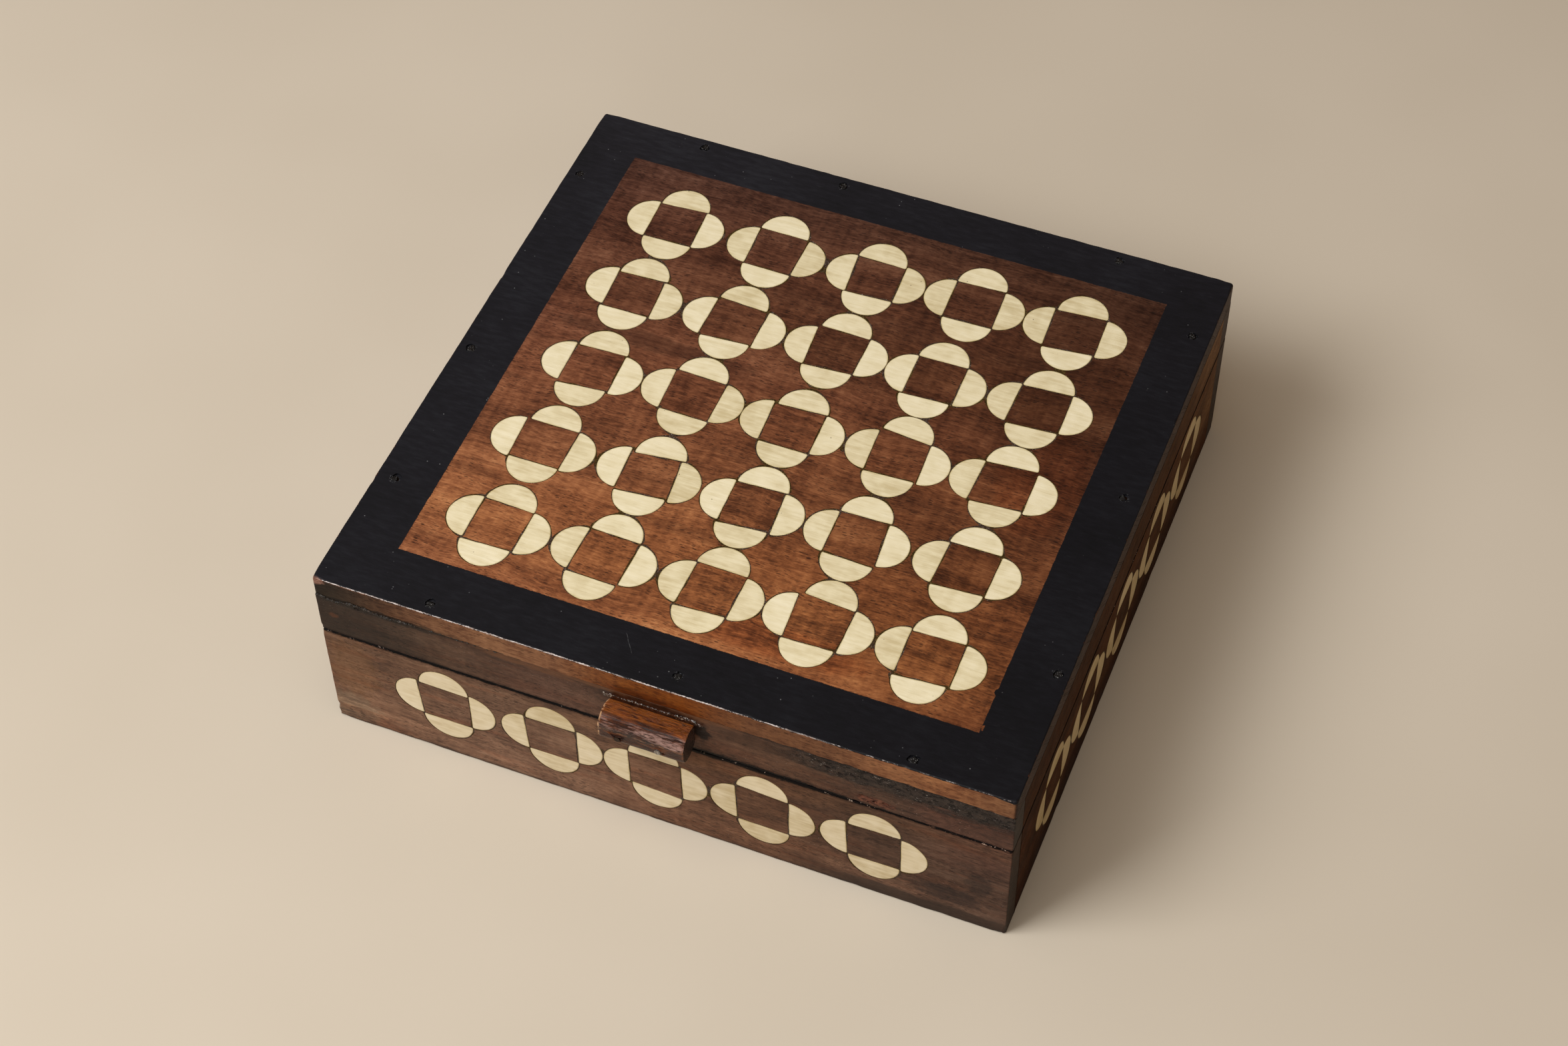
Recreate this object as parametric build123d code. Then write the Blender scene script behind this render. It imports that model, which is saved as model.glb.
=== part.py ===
from build123d import *
import math
import os

os.makedirs("parts", exist_ok=True)

# ---------------------------------------------------------------------------
# Inlaid wooden box with a hinged lid. Millimetres, +Z up.
# Origin: centre of the underside. -Y is the front, with the pull; +X is right.
# The lid turns about the line through the two hinge pins, at the back.
# ---------------------------------------------------------------------------

# overall
WIDTH = 254.0          # X, left to right
DEPTH = 247.5          # Y, front to back, without the pull and the hinge barrels
HEIGHT = 80.5          # Z, lid closed
STOCK = 9.5            # board thickness of the walls, the rims and the top panel

# where the lid parts from the box
PART_Z = 51.7          # middle of the parting gap
PART_GAP = 0.4         # gap between rim and wall, lid closed

# top panel
PANEL_CORNER_R = 2.2   # rounding of its four upright corners
PANEL_ARRIS_R = 0.6    # rounding of its top edge
RIM_TOP_Z = HEIGHT - STOCK

# walls
CORNER_R = 0.9         # rounding of the upright corners
FOOT_R = 1.0           # rounding of the bottom outer edge
ARRIS_R = 0.35         # easing of the edges along the parting line
BOTTOM_T = 5.0         # bottom panel thickness, also the rebate height
REBATE = 5.0           # rebate depth in the walls, for the bottom panel

# inlay: half discs cut from 19 mm discs
PETAL_R = 9.5          # disc radius
PETAL_CHORD = -0.2     # the straight edge lies this far beyond the disc centre
PETAL_TIP_R = 0.7      # rounding of the two tips
PETAL_T = 1.6          # thickness, also the pocket depth
GLUE_GAP = 0.18        # glue line round each petal

# butt hinges
HINGE_X = 70.0         # left and right hinge centres
HINGE_LEN = 32.0
LEAF_T = 1.0
LEAF_W = 8.2           # from the back face inwards
KNUCKLE_R = 2.2
HINGE_PIN_R = 1.0
HINGE_PIN_CLEAR = 0.05 # radial, in the lid leaf's knuckle
AXIS_OUT = 2.35        # hinge axis, behind the back face
KNUCKLE_GAP = 0.2      # end gap between knuckles
SCREW_PITCH = 19.0
SCREW_R = 1.1
SCREW_HEAD_R = 2.0
SCREW_LEN = 11.0

# pull
PULL_X0, PULL_X1 = -17.0, 14.4
# nails and pins
NAIL_R = 0.6
PIN_R = 0.8
PIN_HEAD_R = 1.35
PIN_SINK = 0.8         # depth of the pin heads under the surface
HOLE_R = 1.5           # punched hole above each head

BACK_Y = DEPTH / 2
FRONT_Y = -DEPTH / 2
WALL_TOP = PART_Z - PART_GAP / 2
RIM_BOTTOM = PART_Z + PART_GAP / 2
AXIS_Y = BACK_Y + AXIS_OUT

# ---------------------------------------------------------------------------
# Inlay positions. Each motif is four petals round a square of the ground wood:
# away from, right of, towards and left of its centre. Each petal is
# (x, y of the disc centre, turn in degrees from its nominal direction).
# The small offsets are those of hand-set pieces.
# ---------------------------------------------------------------------------
TOP_INLAY = [
    # row 1, counted from the back
    [(-77.20, 86.39, 4.4), (-67.82, 77.33, 2.7), (-76.95, 67.68, 1.0), (-86.87, 76.83, 1.4)],
    [(-37.14, 87.25, -0.4), (-27.05, 77.37, -1.2), (-36.81, 67.55, -0.4), (-46.44, 77.54, 2.2)],
    [(2.13, 86.73, -1.0), (12.40, 78.08, 2.5), (3.01, 68.19, 2.6), (-6.66, 77.55, 4.8)],
    [(40.96, 88.27, 2.6), (50.84, 78.76, 3.0), (41.65, 68.92, 1.4), (31.57, 78.46, 1.6)],
    [(79.93, 88.02, 4.3), (89.96, 78.76, 2.1), (80.11, 68.87, 6.6), (69.99, 78.42, 2.8)],
    # row 2, counted from the back
    [(-77.46, 47.67, 3.2), (-68.21, 38.11, 4.0), (-77.80, 28.96, 0.6), (-87.13, 39.26, 2.7)],
    [(-37.80, 48.02, -2.9), (-27.32, 38.22, -0.6), (-37.61, 29.02, 4.1), (-47.87, 38.12, -1.3)],
    [(2.37, 48.53, -1.0), (12.08, 39.14, -0.3), (2.16, 29.01, 4.5), (-7.67, 38.13, 3.5)],
    [(40.37, 47.76, 1.1), (50.08, 38.31, 0.8), (39.67, 28.52, 2.6), (31.14, 38.02, 0.7)],
    [(80.04, 48.42, 3.9), (89.59, 39.41, 1.5), (79.94, 28.97, 4.0), (69.95, 38.60, -1.4)],
    # row 3, counted from the back
    [(-76.61, 8.49, 2.1), (-67.09, -1.09, 1.8), (-77.16, -10.76, 5.8), (-86.69, -0.87, 1.2)],
    [(-38.01, 9.49, -1.9), (-28.01, -0.34, -0.7), (-37.41, -10.01, -0.6), (-47.81, -0.22, 2.5)],
    [(1.49, 8.01, 3.0), (10.84, -1.31, 0.9), (1.35, -11.19, 0.3), (-9.02, -1.23, 2.5)],
    [(40.46, 9.50, -5.3), (50.43, -0.83, 2.7), (40.43, -10.26, 3.0), (30.61, -0.63, 2.9)],
    [(79.48, 9.76, 4.7), (89.58, -0.11, 1.1), (79.79, -9.48, 4.3), (69.60, -0.44, -2.2)],
    # row 4, counted from the back
    [(-77.88, -30.99, 0.3), (-68.14, -40.38, -0.5), (-77.97, -49.46, 0.5), (-88.29, -40.38, 1.9)],
    [(-37.20, -30.85, 7.1), (-27.98, -39.85, 6.5), (-37.38, -49.48, 5.4), (-47.60, -39.85, 2.9)],
    [(1.63, -30.71, 2.8), (11.01, -40.23, 3.8), (1.20, -50.13, 5.0), (-8.12, -40.38, 1.2)],
    [(39.97, -30.32, 1.5), (49.67, -40.07, 4.9), (40.44, -50.34, -1.8), (30.61, -40.47, 1.0)],
    [(79.87, -29.67, 0.7), (89.76, -39.51, -0.8), (79.63, -49.13, 3.8), (70.38, -39.72, -2.0)],
    # row 5, counted from the back
    [(-77.29, -70.11, -2.1), (-67.60, -79.86, -0.3), (-77.88, -89.23, 1.9), (-87.09, -79.19, 0.5)],
    [(-37.36, -69.25, -1.6), (-27.92, -79.44, -1.7), (-38.23, -89.49, -0.8), (-47.48, -78.81, -2.1)],
    [(2.32, -69.49, -0.9), (11.79, -79.61, -0.9), (1.62, -89.05, 3.8), (-7.25, -79.16, -2.0)],
    [(41.67, -69.49, -4.2), (51.35, -79.35, -0.7), (40.80, -88.92, 2.0), (31.01, -79.19, 3.5)],
    [(81.12, -70.08, 2.2), (91.25, -79.39, 1.2), (80.70, -89.44, 4.6), (71.37, -78.99, 1.1)],
]
FRONT_INLAY = [
    [(-81.70, 37.91, -1.1), (-71.82, 29.14, -0.6), (-81.45, 19.44, 0.3), (-91.61, 29.32, 3.6)],
    [(-40.73, 37.94, 0.9), (-30.86, 29.23, -0.5), (-40.48, 19.48, 1.0), (-50.60, 28.80, 3.0)],
    [(-1.99, 37.46, 0.6), (8.34, 28.27, 0.7), (-1.35, 18.66, -3.9), (-11.67, 28.33, 0.5)],
    [(38.00, 37.95, -4.4), (47.86, 27.85, -0.3), (38.38, 18.07, -0.5), (28.19, 28.26, 1.5)],
    [(78.73, 37.52, 1.7), (88.48, 27.82, 0.2), (78.73, 18.80, 0.9), (68.53, 28.27, 2.2)],
]
RIGHT_INLAY = [
    [(-77.26, 37.90, -0.4), (-67.62, 28.47, 0.2), (-77.30, 18.89, 1.2), (-86.48, 28.19, -2.0)],
    [(-38.07, 38.21, 0.3), (-29.14, 28.63, -1.9), (-38.12, 18.84, -1.1), (-47.62, 28.51, -0.9)],
    [(1.05, 38.26, -2.6), (10.73, 28.45, -0.3), (1.02, 19.08, -0.1), (-8.29, 28.77, -0.6)],
    [(40.20, 38.59, 0.4), (49.67, 28.90, 1.1), (40.13, 19.78, -1.8), (30.77, 28.76, -3.2)],
    [(79.58, 38.79, 1.5), (88.77, 29.55, -1.8), (79.01, 19.55, 2.3), (70.01, 29.33, 1.0)],
]
LEFT_INLAY = [
    [(-79.10, 38.39, -1.0), (-69.43, 28.96, -0.6), (-79.01, 19.36, 1.0), (-88.34, 28.89, 0.4)],
    [(-39.65, 37.88, 1.4), (-30.60, 28.48, -2.1), (-40.03, 18.96, -1.6), (-49.59, 28.28, -1.7)],
    [(-0.97, 38.29, -1.9), (8.89, 29.06, -0.7), (-0.61, 19.46, -0.8), (-10.29, 28.82, -0.3)],
    [(38.68, 38.22, -0.7), (48.08, 28.63, -0.8), (38.44, 18.97, 0.2), (29.46, 28.51, -2.5)],
    [(78.06, 37.94, -1.5), (87.59, 28.25, -1.0), (77.89, 18.72, 0.1), (68.68, 28.50, 0.7)],
]
BACK_INLAY = [
    [(-78.32, 37.89, 0.4), (-68.95, 28.44, -1.6), (-78.67, 18.98, -0.9), (-88.13, 28.86, 0.5)],
    [(-39.43, 38.28, 0.8), (-29.90, 28.87, 0.2), (-39.29, 19.16, -0.5), (-48.94, 29.04, 2.5)],
    [(0.01, 37.84, 3.1), (9.17, 28.19, 2.2), (-0.29, 18.99, -0.7), (-9.96, 28.43, -1.3)],
    [(38.93, 37.95, -0.6), (48.58, 28.20, 1.7), (39.37, 18.84, -1.8), (29.83, 28.27, -1.0)],
    [(78.11, 38.59, 1.5), (87.35, 28.79, 2.1), (78.15, 19.10, -0.6), (68.71, 28.76, -0.4)],
]


# ---------------------------------------------------------------------------
# helpers
# ---------------------------------------------------------------------------
def box(x0, x1, y0, y1, z0, z1):
    """A box between two corners."""
    return Pos((x0 + x1) / 2, (y0 + y1) / 2, (z0 + z1) / 2) * Box(
        abs(x1 - x0), abs(y1 - y0), abs(z1 - z0))


def cyl(r, p0, p1):
    """A round bar of radius r from point p0 to point p1."""
    a, b = Vector(*p0), Vector(*p1)
    d = b - a
    return extrude(Plane(origin=a, z_dir=d) * Circle(r), amount=d.length)


def at(a, v):
    return abs(a - v) < 1e-4


def edges_near(shape, test):
    """Edges whose centre and direction pass a test."""
    out = []
    for e in shape.edges():
        c, t = e.center(), e.tangent_at(0.5)
        if test(c, t):
            out.append(e)
    return out


def outer_loop(shape, z, y_inner):
    """The edges round a long board's face at height z, without its inner one."""
    return edges_near(shape, lambda c, t: at(c.Z, z) and not at(c.Y, y_inner))


def half_disc(grow, thick):
    """One petal, its straight edge along Y, its round side towards +X, from Z 0
    to thick. grow enlarges the outline for the pocket."""
    r = PETAL_R + grow
    d = PETAL_CHORD - grow
    t = PETAL_TIP_R + grow
    xc = d + t
    yc = math.sqrt((r - t) ** 2 - xc ** 2)
    a = math.atan2(yc, xc)
    top = (r * math.cos(a), r * math.sin(a))
    low = (top[0], -top[1])
    # a point half way round each rounded tip
    m = (a + math.pi) / 2
    mid = (xc + t * math.cos(m), yc + t * math.sin(m))
    wire = Wire([
        ThreePointArc(low, (r, 0), top),
        ThreePointArc(top, mid, (d, yc)),
        Line((d, yc), (d, -yc)),
        ThreePointArc((d, -yc), (mid[0], -mid[1]), low),
    ])
    return extrude(Face(wire), amount=thick, dir=(0, 0, 1))


PETAL = half_disc(0.0, PETAL_T)
POCKET = half_disc(GLUE_GAP, PETAL_T + 1.0)
NOMINAL = (90.0, 0.0, -90.0, 180.0)


def inlay(plane, motifs):
    """The petals and the pocket cutters of a list of motifs on a plane whose Z
    points out of the wood."""
    petals, cutters = [], []
    for motif in motifs:
        for (x, y, turn), base in zip(motif, NOMINAL):
            place = plane * Location((x, y, -PETAL_T), (0, 0, base + turn))
            petals.append(place * PETAL)
            cutters.append(place * POCKET)
    return petals, cutters


def solids_of(items):
    out = []
    for s in items:
        out.extend(s.solids())
    return out


def write(name, *items):
    solids = solids_of(items)
    shape = solids[0] if len(solids) == 1 else Compound(solids)
    export_step(shape, "parts/" + name + ".step")


TOP_FACE = Plane(origin=(0, 0, HEIGHT), x_dir=(1, 0, 0), z_dir=(0, 0, 1))
FRONT_FACE = Plane(origin=(0, FRONT_Y, 0), x_dir=(1, 0, 0), z_dir=(0, -1, 0))
BACK_FACE = Plane(origin=(0, BACK_Y, 0), x_dir=(-1, 0, 0), z_dir=(0, 1, 0))
RIGHT_FACE = Plane(origin=(WIDTH / 2, 0, 0), x_dir=(0, 1, 0), z_dir=(1, 0, 0))
LEFT_FACE = Plane(origin=(-WIDTH / 2, 0, 0), x_dir=(0, -1, 0), z_dir=(-1, 0, 0))

front_petals, front_cut = inlay(FRONT_FACE, FRONT_INLAY)
back_petals, back_cut = inlay(BACK_FACE, BACK_INLAY)
right_petals, right_cut = inlay(RIGHT_FACE, RIGHT_INLAY)
left_petals, left_cut = inlay(LEFT_FACE, LEFT_INLAY)


# ---------------------------------------------------------------------------
# pins and nails
# ---------------------------------------------------------------------------
def sunk_pin(p, n, length):
    """A headed pin punched below a face at p, with the face's outward normal n,
    and the hole that it leaves: (pin, cutter)."""
    p, n = Vector(*p), Vector(*n)
    head_top = p - n * PIN_SINK
    head_low = p - n * (PIN_SINK + 0.7)
    tip = p - n * length
    pin = cyl(PIN_HEAD_R, head_low, head_top) + cyl(PIN_R, tip, head_low)
    hole = cyl(HOLE_R, p - n * (PIN_SINK + 0.7), p + n * 1.0) + cyl(PIN_R, tip, head_low)
    return pin, hole


# through the top panel into the rims: (x, y)
TOP_PINS = [
    (-84.0, -119.3), (5.9, -116.6), (90.1, -119.9),
    (122.6, -70.1), (120.2, 10.3), (120.3, 92.4),
    (-120.0, -73.8), (-121.6, -8.2), (-122.0, 89.0),
    (-83.1, 119.4), (-25.6, 119.0), (84.0, 119.2),
]
top_pins, top_pin_holes = [], []
for x, y in TOP_PINS:
    p, h = sunk_pin((x, y, HEIGHT), (0, 0, 1), 19.0)
    top_pins.append(p)
    top_pin_holes.append(h)

# through the front and back walls into the ends of the side walls: (x, z)
box_pins, box_pin_holes = [], []
for sx, dx in ((-1, 4.9), (1, 5.3)):
    for z in (17.0, 39.0):
        for y, n in ((FRONT_Y, -1), (BACK_Y, 1)):
            p, h = sunk_pin((sx * (WIDTH / 2 - dx), y, z), (0, n, 0), 23.0)
            box_pins.append(p)
            box_pin_holes.append(h)

rim_pins, rim_pin_holes = [], []
for sx in (-1, 1):
    for y, n in ((FRONT_Y, -1), (BACK_Y, 1)):
        p, h = sunk_pin((sx * (WIDTH / 2 - 5.6), y, 61.3), (0, n, 0), 23.0)
        rim_pins.append(p)
        rim_pin_holes.append(h)

# up through the bottom panel into the ledge of the rebate: (x, y)
bottom_brads, bottom_brad_holes = [], []
bx, by = WIDTH / 2 - STOCK + 2.3, DEPTH / 2 - STOCK + 2.3
for x, y in [(-84, -by), (0, -by), (84, -by), (-84, by), (0, by), (84, by),
             (-bx, -62), (-bx, 62), (bx, -62), (bx, 62)]:
    p = cyl(1.1, (x, y, 0.0), (x, y, 0.5)) + cyl(0.6, (x, y, 0.5), (x, y, 16.0))
    h = cyl(1.1, (x, y, -1.0), (x, y, 0.5)) + cyl(0.6, (x, y, 0.4), (x, y, 16.0))
    bottom_brads.append(p)
    bottom_brad_holes.append(h)

# ---------------------------------------------------------------------------
# hinges
# ---------------------------------------------------------------------------
SEG = (HINGE_LEN - 2 * KNUCKLE_GAP) / 3


def hinge(cx):
    """One butt hinge: both leaves, the pin, the screws and the cutters for the
    wall and the rim. The box leaf has the two outer knuckles, the lid leaf the
    middle one."""
    x0, x1 = cx - HINGE_LEN / 2, cx + HINGE_LEN / 2
    a0, a1 = x0 + SEG, x1 - SEG                    # ends of the outer knuckles
    b0, b1 = a0 + KNUCKLE_GAP, a1 - KNUCKLE_GAP    # ends of the middle knuckle
    ya = BACK_Y - LEAF_W
    z_box0, z_box1 = WALL_TOP - LEAF_T, WALL_TOP
    z_lid0, z_lid1 = RIM_BOTTOM, RIM_BOTTOM + LEAF_T

    box_leaf = box(x0, x1, ya, BACK_Y - 0.15, z_box0, z_box1)
    for k0, k1 in ((x0, a0), (a1, x1)):
        box_leaf += box(k0, k1, BACK_Y - 1.0, AXIS_Y, z_box0, z_box1)
        box_leaf += cyl(KNUCKLE_R, (k0, AXIS_Y, PART_Z), (k1, AXIS_Y, PART_Z))
    box_leaf -= cyl(HINGE_PIN_R, (x0 - 1, AXIS_Y, PART_Z), (x1 + 1, AXIS_Y, PART_Z))

    lid_leaf = box(x0, x1, ya, BACK_Y - 0.15, z_lid0, z_lid1)
    lid_leaf += box(b0, b1, BACK_Y - 1.0, AXIS_Y, z_lid0, z_lid1)
    lid_leaf += cyl(KNUCKLE_R, (b0, AXIS_Y, PART_Z), (b1, AXIS_Y, PART_Z))
    lid_leaf -= cyl(HINGE_PIN_R + HINGE_PIN_CLEAR,
                    (x0 - 1, AXIS_Y, PART_Z), (x1 + 1, AXIS_Y, PART_Z))

    # pin with two small peened ends
    pin = cyl(HINGE_PIN_R, (x0, AXIS_Y, PART_Z), (x1, AXIS_Y, PART_Z))
    pin += cyl(HINGE_PIN_R + 0.35, (x0 - 0.45, AXIS_Y, PART_Z), (x0, AXIS_Y, PART_Z))
    pin += cyl(HINGE_PIN_R + 0.35, (x1, AXIS_Y, PART_Z), (x1 + 0.45, AXIS_Y, PART_Z))

    wall_cut = [box(x0, x1, ya, BACK_Y + 1, z_box0, z_box1 + 1)]
    rim_cut = [box(x0, x1, ya, BACK_Y + 1, z_lid0 - 1, z_lid1)]
    box_screws, lid_screws = [], []
    ys = BACK_Y - LEAF_W / 2 - 0.4
    for sx in (-SCREW_PITCH / 2, SCREW_PITCH / 2):
        for up, face in ((-1, WALL_TOP), (1, RIM_BOTTOM)):
            # the head's flat lies in the leaf's outer face; the shank runs
            # away from it into the wood
            n = Vector(0, 0, -up)
            p = Vector(cx + sx, ys, face)
            pl = Plane(origin=p, z_dir=-n)
            head = pl * Pos(0, 0, 0.45) * Cone(SCREW_HEAD_R, SCREW_R, 0.9)
            shank = pl * Pos(0, 0, 0.9 + (SCREW_LEN - 2.9) / 2) * Cylinder(SCREW_R, SCREW_LEN - 2.9)
            tip = pl * Pos(0, 0, SCREW_LEN - 1.0) * Cone(SCREW_R, 0.15, 2.0)
            body = head + shank + tip
            slot = pl * Pos(0, 0, 0.2) * Rot(0, 0, 37 if sx > 0 else 102) * Box(5, 0.55, 0.5)
            screw = body - slot
            if up < 0:
                box_screws.append(screw)
                box_leaf -= body
                wall_cut.append(body)
            else:
                lid_screws.append(screw)
                lid_leaf -= body
                rim_cut.append(body)
    return box_leaf, lid_leaf, pin, box_screws, lid_screws, wall_cut, rim_cut


hl = hinge(-HINGE_X)
hr = hinge(HINGE_X)

# ---------------------------------------------------------------------------
# box
# ---------------------------------------------------------------------------
W2, D2 = WIDTH / 2, DEPTH / 2


def long_wall(sign):
    """Front (-1) or back (+1) wall, full width, lapping the ends of the sides."""
    yo, yi = sign * D2, sign * (D2 - STOCK)
    w = box(-W2, W2, min(yo, yi), max(yo, yi), 0, WALL_TOP)
    w = fillet(edges_near(w, lambda c, t: at(abs(t.Z), 1) and at(c.Y, yo)), CORNER_R)
    w = fillet(outer_loop(w, 0, yi), FOOT_R)
    w = fillet(outer_loop(w, WALL_TOP, yi), ARRIS_R)
    # rebate for the bottom panel
    w -= box(-W2 + STOCK - REBATE, W2 - STOCK + REBATE,
             min(yi, yi + sign * REBATE), max(yi, yi + sign * REBATE), -1, BOTTOM_T)
    return w


def side_wall(sign):
    """Left (-1) or right (+1) wall, between the front and back walls."""
    xo, xi = sign * W2, sign * (W2 - STOCK)
    w = box(min(xo, xi), max(xo, xi), -D2 + STOCK, D2 - STOCK, 0, WALL_TOP)
    w = fillet(edges_near(w, lambda c, t: at(c.Z, 0) and at(c.X, xo) and at(abs(t.Y), 1)), FOOT_R)
    w = fillet(edges_near(w, lambda c, t: at(c.Z, WALL_TOP) and at(c.X, xo) and at(abs(t.Y), 1)), ARRIS_R)
    w -= box(min(xi, xi + sign * REBATE), max(xi, xi + sign * REBATE),
             -D2, D2, -1, BOTTOM_T)
    return w


front_wall = long_wall(-1) - front_cut - box_pin_holes - bottom_brad_holes
back_wall = long_wall(1) - back_cut - box_pin_holes - bottom_brad_holes - hl[5] - hr[5]
right_wall = side_wall(1) - right_cut - box_pin_holes - bottom_brad_holes
left_wall = side_wall(-1) - left_cut - box_pin_holes - bottom_brad_holes

bottom_panel = box(-W2 + STOCK - REBATE, W2 - STOCK + REBATE,
                   -D2 + STOCK - REBATE, D2 - STOCK + REBATE, 0, BOTTOM_T)
bottom_panel -= bottom_brad_holes

# ---------------------------------------------------------------------------
# lid
# ---------------------------------------------------------------------------
top_panel = box(-W2, W2, -D2, D2, RIM_TOP_Z, HEIGHT)
top_panel = fillet(top_panel.edges().filter_by(Axis.Z), PANEL_CORNER_R)
top_panel = fillet(top_panel.faces().sort_by(Axis.Z)[-1].edges(), PANEL_ARRIS_R)
top_panel = fillet(top_panel.faces().sort_by(Axis.Z)[0].edges(), 0.3)

row_petals = []
all_cut = []
for row in range(5):
    petals, cutters = inlay(TOP_FACE, TOP_INLAY[row * 5:row * 5 + 5])
    row_petals.append(petals)
    all_cut += cutters
top_panel = top_panel - all_cut - top_pin_holes


def long_rim(sign):
    yo, yi = sign * D2, sign * (D2 - STOCK)
    w = box(-W2, W2, min(yo, yi), max(yo, yi), RIM_BOTTOM, RIM_TOP_Z)
    w = fillet(edges_near(w, lambda c, t: at(abs(t.Z), 1) and at(c.Y, yo)), CORNER_R)
    w = fillet(outer_loop(w, RIM_BOTTOM, yi), ARRIS_R)
    w = fillet(outer_loop(w, RIM_TOP_Z, yi), ARRIS_R)
    return w


def side_rim(sign):
    xo, xi = sign * W2, sign * (W2 - STOCK)
    w = box(min(xo, xi), max(xo, xi), -D2 + STOCK, D2 - STOCK, RIM_BOTTOM, RIM_TOP_Z)
    w = fillet(edges_near(w, lambda c, t: at(c.Z, RIM_BOTTOM) and at(c.X, xo) and at(abs(t.Y), 1)), ARRIS_R)
    w = fillet(edges_near(w, lambda c, t: at(c.Z, RIM_TOP_Z) and at(c.X, xo) and at(abs(t.Y), 1)), ARRIS_R)
    return w


# pull: a short bar of rounded section, flat at the back where it is glued to the
# rim, with a small flat low on its front. Section points are (out from the rim, z).
PULL_TOP = [(0.0, 65.8), (2.2, 67.1), (4.7, 67.7), (7.3, 67.1), (9.4, 65.3), (10.5, 62.7)]
PULL_LOW = [(10.35, 58.4), (9.3, 56.1), (7.1, 54.8), (4.5, 54.5), (2.0, 55.4), (0.0, 57.0)]
NAILS = [(-9.7, 59.4), (5.0, 59.5)]


def sec(p):
    return (PULL_X0, FRONT_Y - p[0], p[1])


pull_wire = Wire([
    Spline(*[sec(p) for p in PULL_TOP]),
    Line(sec(PULL_TOP[-1]), sec(PULL_LOW[0])),
    Spline(*[sec(p) for p in PULL_LOW]),
    Line(sec(PULL_LOW[-1]), sec(PULL_TOP[0])),
])
lid_pull = extrude(Face(pull_wire), amount=PULL_X1 - PULL_X0, dir=(1, 0, 0))

pull_nails, nail_holes = [], []
for x, z in NAILS:
    out = FRONT_Y - 10.2
    nail = cyl(NAIL_R, (x, out, z), (x, FRONT_Y + 7.5, z)) + cyl(1.15, (x, out - 0.55, z), (x, out, z))
    hole = cyl(1.15, (x, out - 3, z), (x, out, z)) + cyl(NAIL_R, (x, out - 1, z), (x, FRONT_Y + 7.5, z))
    pull_nails.append(nail)
    nail_holes.append(hole)
lid_pull -= nail_holes

lid_rim_front = long_rim(-1) - rim_pin_holes - top_pin_holes - nail_holes
lid_rim_back = long_rim(1) - rim_pin_holes - top_pin_holes - hl[6] - hr[6]
lid_rim_right = side_rim(1) - rim_pin_holes - top_pin_holes
lid_rim_left = side_rim(-1) - rim_pin_holes - top_pin_holes

# ---------------------------------------------------------------------------
# write
# ---------------------------------------------------------------------------
write("front_wall", front_wall)
write("back_wall", back_wall)
write("left_wall", left_wall)
write("right_wall", right_wall)
write("bottom_panel", bottom_panel)
write("front_inlay", *front_petals)
write("back_inlay", *back_petals)
write("left_inlay", *left_petals)
write("right_inlay", *right_petals)
write("box_corner_pins", *box_pins)
write("bottom_brads", *bottom_brads)
write("left_hinge_box_leaf", hl[0])
write("right_hinge_box_leaf", hr[0])
write("left_hinge_pin", hl[2])
write("right_hinge_pin", hr[2])
write("hinge_box_screws", *hl[3], *hr[3])

write("lid_top_panel", top_panel)
write("lid_rim_front", lid_rim_front)
write("lid_rim_back", lid_rim_back)
write("lid_rim_left", lid_rim_left)
write("lid_rim_right", lid_rim_right)
for n, petals in enumerate(row_petals):
    write("lid_inlay_row_%d" % (n + 1), *petals)
write("lid_pull", lid_pull)
write("pull_nails", *pull_nails)
write("lid_top_pins", *top_pins)
write("rim_corner_pins", *rim_pins)
write("left_hinge_lid_leaf", hl[1])
write("right_hinge_lid_leaf", hr[1])
write("hinge_lid_screws", *hl[4], *hr[4])
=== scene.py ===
import math

import bmesh
import bpy
import numpy as np
from mathutils import Matrix, Vector


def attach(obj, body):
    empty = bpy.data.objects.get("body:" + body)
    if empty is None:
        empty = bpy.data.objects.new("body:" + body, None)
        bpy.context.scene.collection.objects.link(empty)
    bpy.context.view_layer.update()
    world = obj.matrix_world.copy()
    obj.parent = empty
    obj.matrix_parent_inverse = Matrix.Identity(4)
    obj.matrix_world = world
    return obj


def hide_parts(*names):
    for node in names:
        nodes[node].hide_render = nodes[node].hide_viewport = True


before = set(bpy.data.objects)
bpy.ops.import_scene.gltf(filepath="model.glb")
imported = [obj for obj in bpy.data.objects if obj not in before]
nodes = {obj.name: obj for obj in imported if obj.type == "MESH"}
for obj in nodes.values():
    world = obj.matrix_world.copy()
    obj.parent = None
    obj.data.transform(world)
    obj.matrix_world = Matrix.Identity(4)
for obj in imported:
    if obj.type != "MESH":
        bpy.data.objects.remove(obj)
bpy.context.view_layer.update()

# millimetres in the numbers below, metres in the meshes
MM = 0.001
W2, D2, H = 127.0, 123.75, 80.5
STOCK = 9.5
RIM_TOP, RIM_LOW, WALL_TOP, PART = 71.0, 51.9, 51.5, 51.7
REBATE, BOTTOM_T = 5.0, 5.0
PETAL_R, PETAL_CHORD, PETAL_TIP, PETAL_T = 9.5, -0.2, 0.7, 1.6
HINGE_X, HINGE_LEN, LEAF_T, LEAF_W = 70.0, 32.0, 1.0, 8.2

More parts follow.
